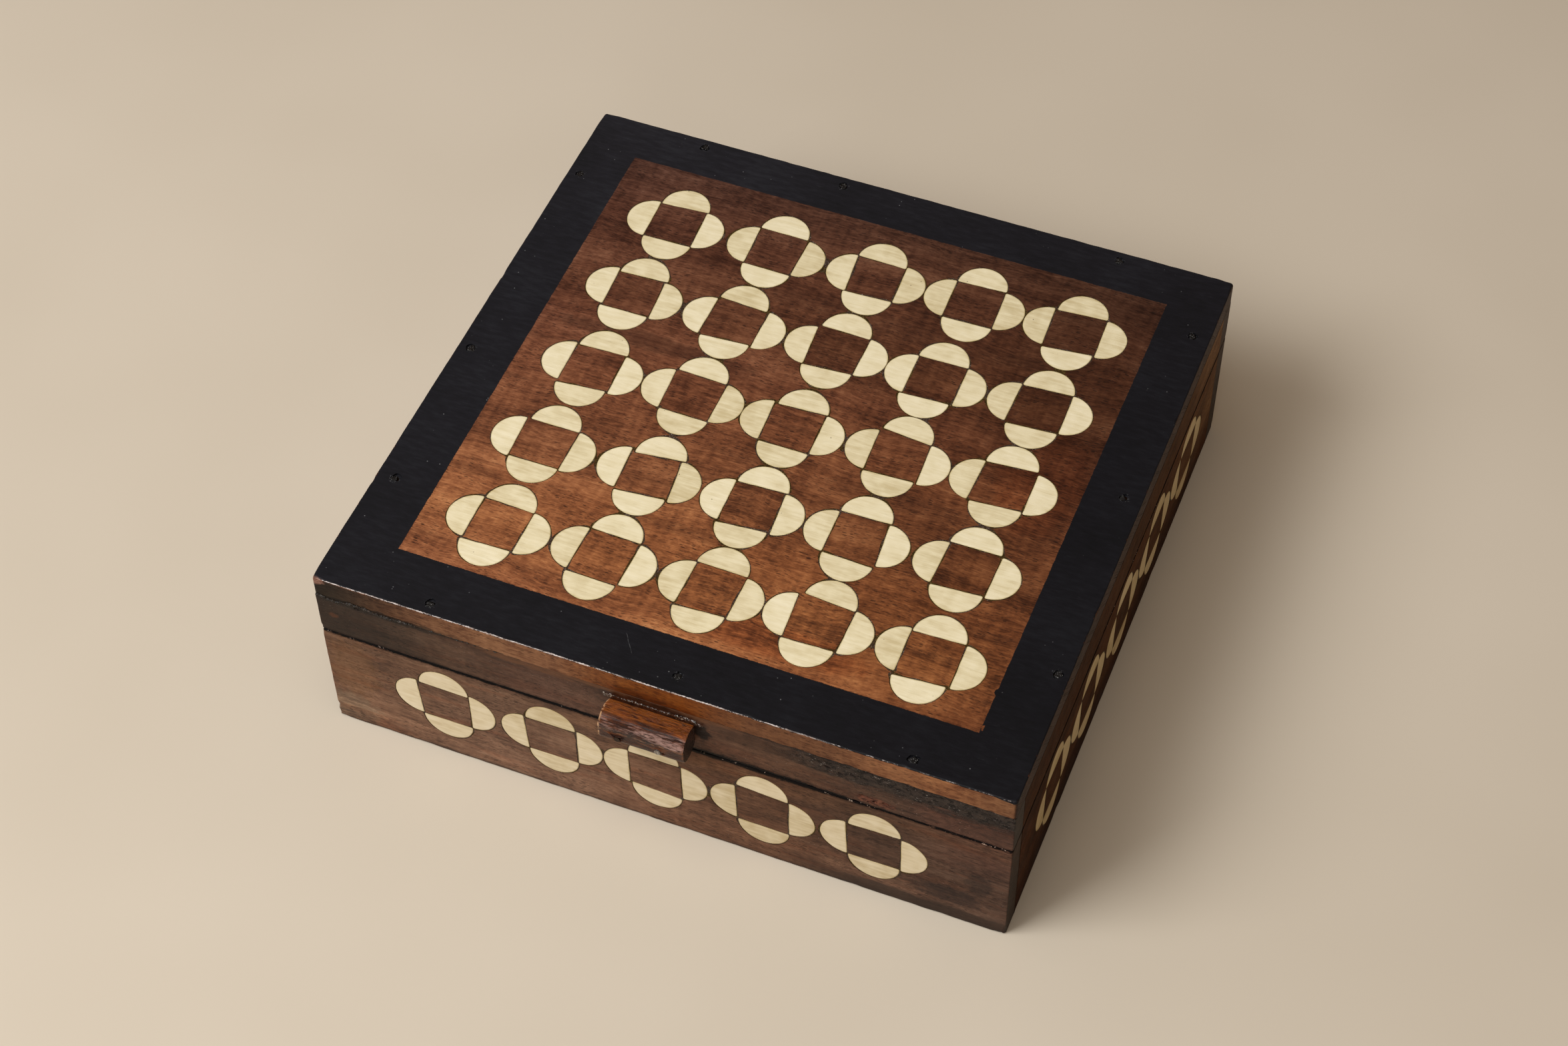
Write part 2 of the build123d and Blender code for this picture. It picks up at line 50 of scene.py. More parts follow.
# ---------------------------------------------------------------------------
# where the petals lie: each motif is four petals, away from, right of, towards
# and left of its centre: (x, y of the disc centre, turn from nominal in degrees)
# ---------------------------------------------------------------------------
TOP_INLAY = [
    # row 1, counted from the back
    [(-77.20, 86.39, 4.4), (-67.82, 77.33, 2.7), (-76.95, 67.68, 1.0), (-86.87, 76.83, 1.4)],
    [(-37.14, 87.25, -0.4), (-27.05, 77.37, -1.2), (-36.81, 67.55, -0.4), (-46.44, 77.54, 2.2)],
    [(2.13, 86.73, -1.0), (12.40, 78.08, 2.5), (3.01, 68.19, 2.6), (-6.66, 77.55, 4.8)],
    [(40.96, 88.27, 2.6), (50.84, 78.76, 3.0), (41.65, 68.92, 1.4), (31.57, 78.46, 1.6)],
    [(79.93, 88.02, 4.3), (89.96, 78.76, 2.1), (80.11, 68.87, 6.6), (69.99, 78.42, 2.8)],
    # row 2, counted from the back
    [(-77.46, 47.67, 3.2), (-68.21, 38.11, 4.0), (-77.80, 28.96, 0.6), (-87.13, 39.26, 2.7)],
    [(-37.80, 48.02, -2.9), (-27.32, 38.22, -0.6), (-37.61, 29.02, 4.1), (-47.87, 38.12, -1.3)],
    [(2.37, 48.53, -1.0), (12.08, 39.14, -0.3), (2.16, 29.01, 4.5), (-7.67, 38.13, 3.5)],
    [(40.37, 47.76, 1.1), (50.08, 38.31, 0.8), (39.67, 28.52, 2.6), (31.14, 38.02, 0.7)],
    [(80.04, 48.42, 3.9), (89.59, 39.41, 1.5), (79.94, 28.97, 4.0), (69.95, 38.60, -1.4)],
    # row 3, counted from the back
    [(-76.61, 8.49, 2.1), (-67.09, -1.09, 1.8), (-77.16, -10.76, 5.8), (-86.69, -0.87, 1.2)],
    [(-38.01, 9.49, -1.9), (-28.01, -0.34, -0.7), (-37.41, -10.01, -0.6), (-47.81, -0.22, 2.5)],
    [(1.49, 8.01, 3.0), (10.84, -1.31, 0.9), (1.35, -11.19, 0.3), (-9.02, -1.23, 2.5)],
    [(40.46, 9.50, -5.3), (50.43, -0.83, 2.7), (40.43, -10.26, 3.0), (30.61, -0.63, 2.9)],
    [(79.48, 9.76, 4.7), (89.58, -0.11, 1.1), (79.79, -9.48, 4.3), (69.60, -0.44, -2.2)],
    # row 4, counted from the back
    [(-77.88, -30.99, 0.3), (-68.14, -40.38, -0.5), (-77.97, -49.46, 0.5), (-88.29, -40.38, 1.9)],
    [(-37.20, -30.85, 7.1), (-27.98, -39.85, 6.5), (-37.38, -49.48, 5.4), (-47.60, -39.85, 2.9)],
    [(1.63, -30.71, 2.8), (11.01, -40.23, 3.8), (1.20, -50.13, 5.0), (-8.12, -40.38, 1.2)],
    [(39.97, -30.32, 1.5), (49.67, -40.07, 4.9), (40.44, -50.34, -1.8), (30.61, -40.47, 1.0)],
    [(79.87, -29.67, 0.7), (89.76, -39.51, -0.8), (79.63, -49.13, 3.8), (70.38, -39.72, -2.0)],
    # row 5, counted from the back
    [(-77.29, -70.11, -2.1), (-67.60, -79.86, -0.3), (-77.88, -89.23, 1.9), (-87.09, -79.19, 0.5)],
    [(-37.36, -69.25, -1.6), (-27.92, -79.44, -1.7), (-38.23, -89.49, -0.8), (-47.48, -78.81, -2.1)],
    [(2.32, -69.49, -0.9), (11.79, -79.61, -0.9), (1.62, -89.05, 3.8), (-7.25, -79.16, -2.0)],
    [(41.67, -69.49, -4.2), (51.35, -79.35, -0.7), (40.80, -88.92, 2.0), (31.01, -79.19, 3.5)],
    [(81.12, -70.08, 2.2), (91.25, -79.39, 1.2), (80.70, -89.44, 4.6), (71.37, -78.99, 1.1)],
]
FRONT_INLAY = [
    [(-81.70, 37.91, -1.1), (-71.82, 29.14, -0.6), (-81.45, 19.44, 0.3), (-91.61, 29.32, 3.6)],
    [(-40.73, 37.94, 0.9), (-30.86, 29.23, -0.5), (-40.48, 19.48, 1.0), (-50.60, 28.80, 3.0)],
    [(-1.99, 37.46, 0.6), (8.34, 28.27, 0.7), (-1.35, 18.66, -3.9), (-11.67, 28.33, 0.5)],
    [(38.00, 37.95, -4.4), (47.86, 27.85, -0.3), (38.38, 18.07, -0.5), (28.19, 28.26, 1.5)],
    [(78.73, 37.52, 1.7), (88.48, 27.82, 0.2), (78.73, 18.80, 0.9), (68.53, 28.27, 2.2)],
]
RIGHT_INLAY = [
    [(-77.26, 37.90, -0.4), (-67.62, 28.47, 0.2), (-77.30, 18.89, 1.2), (-86.48, 28.19, -2.0)],
    [(-38.07, 38.21, 0.3), (-29.14, 28.63, -1.9), (-38.12, 18.84, -1.1), (-47.62, 28.51, -0.9)],
    [(1.05, 38.26, -2.6), (10.73, 28.45, -0.3), (1.02, 19.08, -0.1), (-8.29, 28.77, -0.6)],
    [(40.20, 38.59, 0.4), (49.67, 28.90, 1.1), (40.13, 19.78, -1.8), (30.77, 28.76, -3.2)],
    [(79.58, 38.79, 1.5), (88.77, 29.55, -1.8), (79.01, 19.55, 2.3), (70.01, 29.33, 1.0)],
]
LEFT_INLAY = [
    [(-79.10, 38.39, -1.0), (-69.43, 28.96, -0.6), (-79.01, 19.36, 1.0), (-88.34, 28.89, 0.4)],
    [(-39.65, 37.88, 1.4), (-30.60, 28.48, -2.1), (-40.03, 18.96, -1.6), (-49.59, 28.28, -1.7)],
    [(-0.97, 38.29, -1.9), (8.89, 29.06, -0.7), (-0.61, 19.46, -0.8), (-10.29, 28.82, -0.3)],
    [(38.68, 38.22, -0.7), (48.08, 28.63, -0.8), (38.44, 18.97, 0.2), (29.46, 28.51, -2.5)],
    [(78.06, 37.94, -1.5), (87.59, 28.25, -1.0), (77.89, 18.72, 0.1), (68.68, 28.50, 0.7)],
]
BACK_INLAY = [
    [(-78.32, 37.89, 0.4), (-68.95, 28.44, -1.6), (-78.67, 18.98, -0.9), (-88.13, 28.86, 0.5)],
    [(-39.43, 38.28, 0.8), (-29.90, 28.87, 0.2), (-39.29, 19.16, -0.5), (-48.94, 29.04, 2.5)],
    [(0.01, 37.84, 3.1), (9.17, 28.19, 2.2), (-0.29, 18.99, -0.7), (-9.96, 28.43, -1.3)],
    [(38.93, 37.95, -0.6), (48.58, 28.20, 1.7), (39.37, 18.84, -1.8), (29.83, 28.27, -1.0)],
    [(78.11, 38.59, 1.5), (87.35, 28.79, 2.1), (78.15, 19.10, -0.6), (68.71, 28.76, -0.4)],
]

# pins through the lid's border into the rims (x, y), plugged with black filler
TOP_PINS = [
    (-84.0, -119.3), (5.9, -116.6), (90.1, -119.9),
    (122.6, -70.1), (120.2, 10.3), (120.3, 92.4),
    (-120.0, -73.8), (-121.6, -8.2), (-122.0, 89.0),
    (-83.1, 119.4), (-25.6, 119.0), (84.0, 119.2),
]


# ---------------------------------------------------------------------------
# smooth value noise on points, for shaping meshes
# ---------------------------------------------------------------------------
def _hash(ix, iy, iz, seed):
    n = (ix * 374761393 + iy * 668265263 + iz * 974634777 + seed * 1442695041) & 0xFFFFFFFF
    n = ((n ^ (n >> 13)) * 1274126177) & 0xFFFFFFFF
    return ((n ^ (n >> 16)) & 0xFFFF) / 65535.0


def vnoise(p, size, seed=0):
    """Smooth noise from -1 to 1 at points p (N x 3, mm), features about size mm."""
    q = np.asarray(p, float) / size + 1000.0
    i = np.floor(q).astype(np.int64)
    f = q - i
    f = f * f * (3 - 2 * f)
    v = np.zeros(len(q))
    for dx in (0, 1):
        wx = f[:, 0] if dx else 1 - f[:, 0]
        for dy in (0, 1):
            wy = f[:, 1] if dy else 1 - f[:, 1]
            for dz in (0, 1):
                wz = f[:, 2] if dz else 1 - f[:, 2]
                v += wx * wy * wz * _hash(i[:, 0] + dx, i[:, 1] + dy, i[:, 2] + dz, seed)
    return 2 * v - 1


def noise1(s, size, seed=0):
    s = np.asarray(s, float)
    return vnoise(np.stack([s, np.zeros_like(s), np.zeros_like(s)], 1), size, seed)


# ---------------------------------------------------------------------------
# meshes
# ---------------------------------------------------------------------------
class Face:
    """A flat face to build on: u along, v up it, w out of the wood."""

    def __init__(self, origin, u, v, n):
        self.o, self.u, self.v, self.n = (np.array(a, float) for a in (origin, u, v, n))

    def at(self, p):
        p = np.asarray(p, float)
        return self.o + p[:, :1] * self.u + p[:, 1:2] * self.v + p[:, 2:3] * self.n


TOP = Face((0, 0, H), (1, 0, 0), (0, 1, 0), (0, 0, 1))
FRONT = Face((0, -D2, 0), (1, 0, 0), (0, 0, 1), (0, -1, 0))
BACK = Face((0, D2, 0), (-1, 0, 0), (0, 0, 1), (0, 1, 0))
RIGHT = Face((W2, 0, 0), (0, 1, 0), (0, 0, 1), (1, 0, 0))
LEFT = Face((-W2, 0, 0), (0, -1, 0), (0, 0, 1), (-1, 0, 0))


def new_object(name, verts_mm, faces, attrs=None):
    me = bpy.data.meshes.new(name)
    me.from_pydata((np.asarray(verts_mm, float) * MM).tolist(), [], faces)
    me.update()
    for key, values in (attrs or {}).items():
        a = me.attributes.new(key, "FLOAT", "POINT")
        a.data.foreach_set("value", np.asarray(values, np.float32))
    ob = bpy.data.objects.new(name, me)
    bpy.context.scene.collection.objects.link(ob)
    return ob


def smooth(ob, angle=35.0):
    me = ob.data
    # faces that lie square to an axis are shaded flat, so that long thin faces
    # round the pockets don't pick up a neighbour's slope
    if "custom_normal" in me.attributes:
        me.attributes.remove(me.attributes["custom_normal"])
    n = np.empty(len(me.polygons) * 3)
    me.polygons.foreach_get("normal", n)
    square = np.abs(n.reshape(-1, 3)).max(1) > 0.9999
    me.polygons.foreach_set("use_smooth", [True] * len(me.polygons))
    me.set_sharp_from_angle(angle=math.radians(angle))
    me.polygons.foreach_set("use_smooth", ~square)
    me.update()


def loops_mesh(loops, close_first=True, close_last=True):
    """Faces between successive closed loops of equal length, wound so that the
    first loop's cap looks along its own normal when the loops run anticlockwise."""
    k = len(loops)
    n = len(loops[0])
    verts = np.concatenate(loops)
    faces = []
    for a in range(k - 1):
        o, p = a * n, (a + 1) * n
        for i in range(n):
            j = (i + 1) % n
            faces.append((o + j, o + i, p + i, p + j))
    if close_first:
        faces.append(tuple(range(n)))
    if close_last:
        faces.append(tuple(reversed(range((k - 1) * n, k * n))))
    return verts, faces


def join_meshes(parts):
    verts, faces, n = [], [], 0
    for v, f in parts:
        verts.append(v)
        faces += [tuple(i + n for i in g) for g in f]
        n += len(v)
    return np.concatenate(verts), faces


def drop(ob):
    me = ob.data
    bpy.data.objects.remove(ob)
    if me.users == 0:
        bpy.data.meshes.remove(me)


def cut(ob, tools, operation="DIFFERENCE", keep_tools=False):
    """Booleans of closed meshes, applied to ob's mesh."""
    for t in tools:
        m = ob.modifiers.new("cut", "BOOLEAN")
        m.operation, m.solver, m.object = operation, "MANIFOLD", t
    dg = bpy.context.evaluated_depsgraph_get()
    dg.update()
    me = bpy.data.meshes.new_from_object(ob.evaluated_get(dg))
    ob.modifiers.clear()
    old = ob.data
    me.name = ob.name
    ob.data = me
    bpy.data.meshes.remove(old)
    if not keep_tools:
        for t in tools:
            drop(t)
    return ob


def copy_of(node, weld=True):
    """A closed copy of a CAD node's mesh, to cut with or to finish in detail."""
    me = nodes[node].data.copy()
    bm = bmesh.new()
    bm.from_mesh(me)
    if weld:
        bmesh.ops.remove_doubles(bm, verts=bm.verts, dist=2e-6)
    bm.to_mesh(me)
    bm.free()
    me.materials.clear()
    ob = bpy.data.objects.new(node + ".copy", me)
    bpy.context.scene.collection.objects.link(ob)
    return ob


def block(x0, x1, y0, y1, z0, z1):
    v = np.array([(x, y, z) for z in (z0, z1) for y in (y0, y1) for x in (x0, x1)], float)
    f = [(0, 2, 3, 1), (4, 5, 7, 6), (0, 1, 5, 4), (2, 6, 7, 3), (0, 4, 6, 2), (1, 3, 7, 5)]
    return new_object("block", v, f)


# ---------------------------------------------------------------------------
# boards: slabs with worn, rounded edges
# ---------------------------------------------------------------------------
def slab(name, face, cu, cv, w, h, t, corner, outer, inner, seed, nicks=(), step=1.0, ragged=0.3):
    """A board w by h by t. face is its outer face's plane, (cu, cv) the centre
    there. outer gives the rounding of the outer face's edges: bottom, right, top,
    left. inner is that of the far face. nicks are (u, v, reach, depth) places on
    the outer edges where the rounding is deeper."""
    hw, hh = w / 2, h / 2
    ax, ay, nx, ny, rs = [], [], [], [], []
    sides = [((-1, -1), (1, -1), (0, -1), w), ((1, -1), (1, 1), (1, 0), h),
             ((1, 1), (-1, 1), (0, 1), w), ((-1, 1), (-1, -1), (-1, 0), h)]
    for k, (a, b, n, length) in enumerate(sides):
        m = max(6, int(length / step))
        for i in range(m):
            s = i / m
            # closer together near the corners
            s = s + 0.5 / m
            ax.append(a[0] + (b[0] - a[0]) * s)
            ay.append(a[1] + (b[1] - a[1]) * s)
            nx.append(n[0])
            ny.append(n[1])
            rs.append(outer[k])
        n2 = sides[(k + 1) % 4][2]
        for i in range(7):
            q = (i + 0.5) / 7 * math.pi / 2
            ax.append(b[0])
            ay.append(b[1])
            nx.append(n[0] * math.cos(q) + n2[0] * math.sin(q))
            ny.append(n[1] * math.cos(q) + n2[1] * math.sin(q))
            c = math.sin(q) ** 2
            rs.append(outer[k] * (1 - c) + outer[(k + 1) % 4] * c)
    ax, ay, nx, ny, rs = (np.array(a, float) for a in (ax, ay, nx, ny, rs))

    def ring(d, depth):
        d = np.broadcast_to(np.asarray(d, float), ax.shape)
        m = np.maximum(corner, d)
        rr = np.maximum(corner - d, 0.02)
        return np.stack([cu + ax * (hw - m) + nx * rr, cv + ay * (hh - m) + ny * rr,
                         np.broadcast_to(np.asarray(depth, float), ax.shape)], 1)

    base = ring(0.0, 0.0)
    world = face.at(base)
    wob = (0.55 * vnoise(world, 9.0, seed) + 0.35 * vnoise(world, 3.1, seed + 1)
           + 0.25 * vnoise(world, 1.3, seed + 2))
    r = rs * np.clip(1 + ragged * 1.6 * wob, 0.35, 2.2)
    for (u, v, reach, depth) in nicks:
        dist = np.hypot(base[:, 0] - u, base[:, 1] - v) / reach
        jag = 1 + 0.45 * vnoise(world, 0.9, seed + 5)
        r = r + np.clip(1 - dist ** 2, 0, 1) * depth * jag
    r = np.minimum(r, t * 0.4)
    dent = 0.03 * vnoise(world, 22.0, seed + 7) + 0.02 * vnoise(world, 2.2, seed + 8)
    dent = np.clip(dent + 0.03, 0.0, 0.12) * (rs > 0.2)

    far = min(5.0, 0.3 * min(w, h))
    rows = [ring(far + 2.5, 0.0), ring(far, 0.0), ring(np.maximum(r * 1.5, r + 0.3), 0.0)]
    arc = 6
    for k in range(arc + 1):
        q = k / arc * math.pi / 2
        g = 0.06 * vnoise(world + k * 0.37, 0.8, seed + 11) * math.sin(2 * q) * np.minimum(r, 1.0)
        rows.append(ring(np.maximum(r * (1 - math.sin(q)) + dent * math.sin(q) + g * 0.5, 0.0),
                         -r * (1 - math.cos(q))))
    m = max(2, int((t - 1.0) / 1.6))
    for k in range(1, m):
        s = k / m
        rows.append(ring(dent, -(r + (t - inner - r) * s)))
    for k in range(4):
        q = k / 3 * math.pi / 2
        rows.append(ring(dent + inner * (1 - math.cos(q)), -(t - inner * (1 - math.sin(q)))))
    rows += [ring(far, -t), ring(far + 2.5, -t)]
    verts, faces = loops_mesh([face.at(a) for a in rows])
    return new_object(name, verts, faces)


def lump(centre, size, seed, rough=0.35, detail=3):
    """A small irregular closed stone shape, used to break bits out of edges."""
    bm = bmesh.new()
    bmesh.ops.create_icosphere(bm, subdivisions=detail, radius=1.0)
    p = np.array([v.co[:] for v in bm.verts])
    k = 1 + rough * vnoise(p * 3.0, 1.6, seed) + rough * 0.5 * vnoise(p * 3.0, 0.7, seed + 1)
    p = p * k[:, None] * np.array(size) + np.array(centre)
    f = [tuple(v.index for v in g.verts) for g in bm.faces]
    bm.free()
    return p, f


# ---------------------------------------------------------------------------
# petals, their pockets and the dark filler round them
# ---------------------------------------------------------------------------
def petal_outline(n_arc=34, n_tip=6, n_chord=16):
    """Points and outward normals of one half disc, anticlockwise."""
    r, d, t = PETAL_R, PETAL_CHORD, PETAL_TIP
    xc = d + t
    yc = math.sqrt((r - t) ** 2 - xc ** 2)
    a = math.atan2(yc, xc)
    pts, nrm = [], []
    for i in range(n_arc + 1):
        q = -a + 2 * a * i / n_arc
        pts.append((r * math.cos(q), r * math.sin(q)))
        nrm.append((math.cos(q), math.sin(q)))
    for i in range(1, n_tip + 1):
        q = a + (math.pi - a) * i / n_tip
        pts.append((xc + t * math.cos(q), yc + t * math.sin(q)))
        nrm.append((math.cos(q), math.sin(q)))
    for i in range(1, n_chord):
        pts.append((d, yc - 2 * yc * i / n_chord))
        nrm.append((-1.0, 0.0))
    for i in range(n_tip):
        q = math.pi + (math.pi - a) * i / n_tip
        pts.append((xc + t * math.cos(q), -yc + t * math.sin(q)))
        nrm.append((math.cos(q), math.sin(q)))
    return np.array(pts), np.array(nrm)


OUT_P, OUT_N = petal_outline()
NOMINAL = (90.0, 0.0, -90.0, 180.0)


def placed(motifs):
    """Every petal's outline and normals on its face: [(points, normals, kind)]."""
    out = []
    for motif in motifs:
        for k, ((x, y, turn), nominal) in enumerate(zip(motif, NOMINAL)):
            q = math.radians(nominal + turn)
            c, s = math.cos(q), math.sin(q)
            m = np.array([[c, s], [-s, c]])
            out.append((OUT_P @ m + (x, y), OUT_N @ m, k))
    return out


def inlay_parts(face, motifs, seed, rng):
    """(each petal's mesh data, pocket cutters, filler object) for one field."""
    field = placed(motifs)
    centres = np.array([p.mean(0) for p, n, k in field])
    petals, groups, plain = [], {0: [], 1: [], 2: [], 3: []}, []
    n = len(OUT_P)
    for i, (p, nn, kind) in enumerate(field):
        # room to the neighbours, along each normal
        near = [j for j in range(len(field)) if j != i
                and np.hypot(*(centres[j] - centres[i])) < 24.0]
        other = np.concatenate([field[j][0] for j in near] or [p + 99.0])
        other = np.concatenate([other, (other + np.roll(other, -1, 0)) / 2])
        d = np.sqrt(((p[:, None, :] - other[None]) ** 2).sum(2)).min(1)
        q3 = np.concatenate([p, np.full((n, 1), seed * 3.1)], 1)
        chord = (np.abs(OUT_N[:, 0] + 1) < 1e-6) * 1.0
        g = 0.11 + 0.10 * (vnoise(q3, 3.0, seed) + 1) + 0.06 * vnoise(q3, 0.9, seed + 1)
        patch = np.clip(vnoise(q3, 8.0, seed + 2) - 0.25, 0, 1)
        g += patch * (0.35 + 0.5 * chord * (kind == 2))
        close = np.clip((3.4 - d) / 2.4, 0, 1)
        g += close * np.clip(0.45 + 1.5 * vnoise(q3, 9.0, seed + 3), 0, 1.5) * (1 + 0.35 * vnoise(q3, 0.8, seed + 5))
        g = np.clip(g, 0.07, 1.6)
        g = np.minimum(g, np.maximum(0.5 * d + 0.03, 0.10))
        g = (g + np.roll(g, 1) + np.roll(g, -1)) / 3
        pocket = p + nn * g[:, None]
        lo, hi = -PETAL_T, 0.6
        prism = [np.concatenate([pocket, np.full((n, 1), w)], 1) for w in (hi, lo)]
        groups[kind].append(loops_mesh([face.at(a) for a in prism]))
        # the petal: cut a little unevenly, always inside its true outline
        wob = 0.07 + 0.08 * vnoise(q3, 3.4, seed + 4) + 0.035 * vnoise(q3, 1.0, seed + 6)
        wob = np.clip(wob, 0.0, 0.22)
        e = p - nn * wob[:, None]
        sunk = 0.02 + 0.05 * rng.random()
        tilt = rng.normal(0, 0.0018, 2)
        mid = p.mean(0)
        rows, rims = [], []
        for inset, drop_w, edge in ((3.2, 0.0, 0.0), (1.1, 0.0, 0.0), (0.45, 0.0, 0.35), (0.22, 0.004, 0.8), (0.07, 0.035, 1.0), (0.0, 0.12, 1.0)):
            if inset > PETAL_TIP:
                f = 1 - inset / 5.2
                q = mid + (e - mid) * f
            else:
                q = e - nn * inset
            w = -(sunk + drop_w) + np.minimum((q - mid) @ tilt, sunk * 0.8)
            rows.append(np.concatenate([q, w[:, None]], 1))
            rims.append(np.full(n, edge))
        rows.append(np.concatenate([e, np.full((n, 1), -PETAL_T)], 1))
        rims.append(np.ones(n))
        v3, f3 = loops_mesh([face.at(a) for a in rows])
        petals.append((v3, f3, np.full(len(v3), rng.random()), np.concatenate(rims)))
        solid = [np.concatenate([e, np.full((n, 1), w)], 1) for w in (0.5, -PETAL_T - 0.5)]
        plain.append(loops_mesh([face.at(a) for a in solid]))
    # where two petals nearly meet, the wood between them is broken out and filled
    patches = []
    own = np.random.default_rng(seed + 700)
    n_motif = 4
    for i in range(len(field)):
        for j in range(i):
            if np.hypot(*(centres[i] - centres[j])) > 24.0:
                continue
            gap = np.sqrt(((field[i][0][:, None, :] - field[j][0][None]) ** 2).sum(2))
            a, b = np.unravel_index(np.argmin(gap), gap.shape)
            small = i // n_motif == j // n_motif
            if gap[a, b] > 1.5 or own.random() > (0.55 if small else 0.80):
                continue
            m = (field[i][0][a] + field[j][0][b]) / 2
            way = centres[i] - centres[j]
            way = way / np.hypot(*way)
            side_way = np.array([-way[1], way[0]])
            long = (0.60 + 0.50 * own.random()) if small else (2.0 + 2.0 * own.random())
            wide = (0.50 + 0.35 * own.random()) if small else (1.1 + 0.8 * own.random())
            m = m + side_way * (0.0 if small else (own.random() - 0.5) * 1.8)
            q = np.arange(26) / 26 * 2 * math.pi
            ring = np.stack([np.cos(q), np.sin(q), np.full(26, i + j * 0.37)], 1)
            rr = 1 + 0.30 * vnoise(ring, 0.8, seed + i) + 0.24 * vnoise(ring, 0.32, seed + j + 50)
            pts = m + (rr * np.cos(q) * wide)[:, None] * way + (rr * np.sin(q) * long)[:, None] * side_way
            patches.append(loops_mesh([face.at(np.concatenate([pts, np.full((26, 1), w)], 1)) for w in (0.6, -0.9)]))
    groups[4] = patches
    cutters = [new_object("pocket", *join_meshes(groups[k])) for k in range(5) if groups.get(k)]
    # filler: the pockets' volume a hair below the surface, less the petals
    filler = new_object("filler", *join_meshes(groups[0]))
    cut(filler, cutters[1:], "UNION", keep_tools=True)
    lo, hi = centres.min(0) - 16, centres.max(0) + 16
    layer = [np.array([(lo[0], lo[1], w), (hi[0], lo[1], w), (hi[0], hi[1], w), (lo[0], hi[1], w)])
             for w in (-0.075, -1.58)]
    cut(filler, [new_object("layer", *loops_mesh([face.at(a) for a in layer]))], "INTERSECT")
    cut(filler, [new_object("petals", *join_meshes(plain))], "DIFFERENCE")
    return petals, cutters, filler


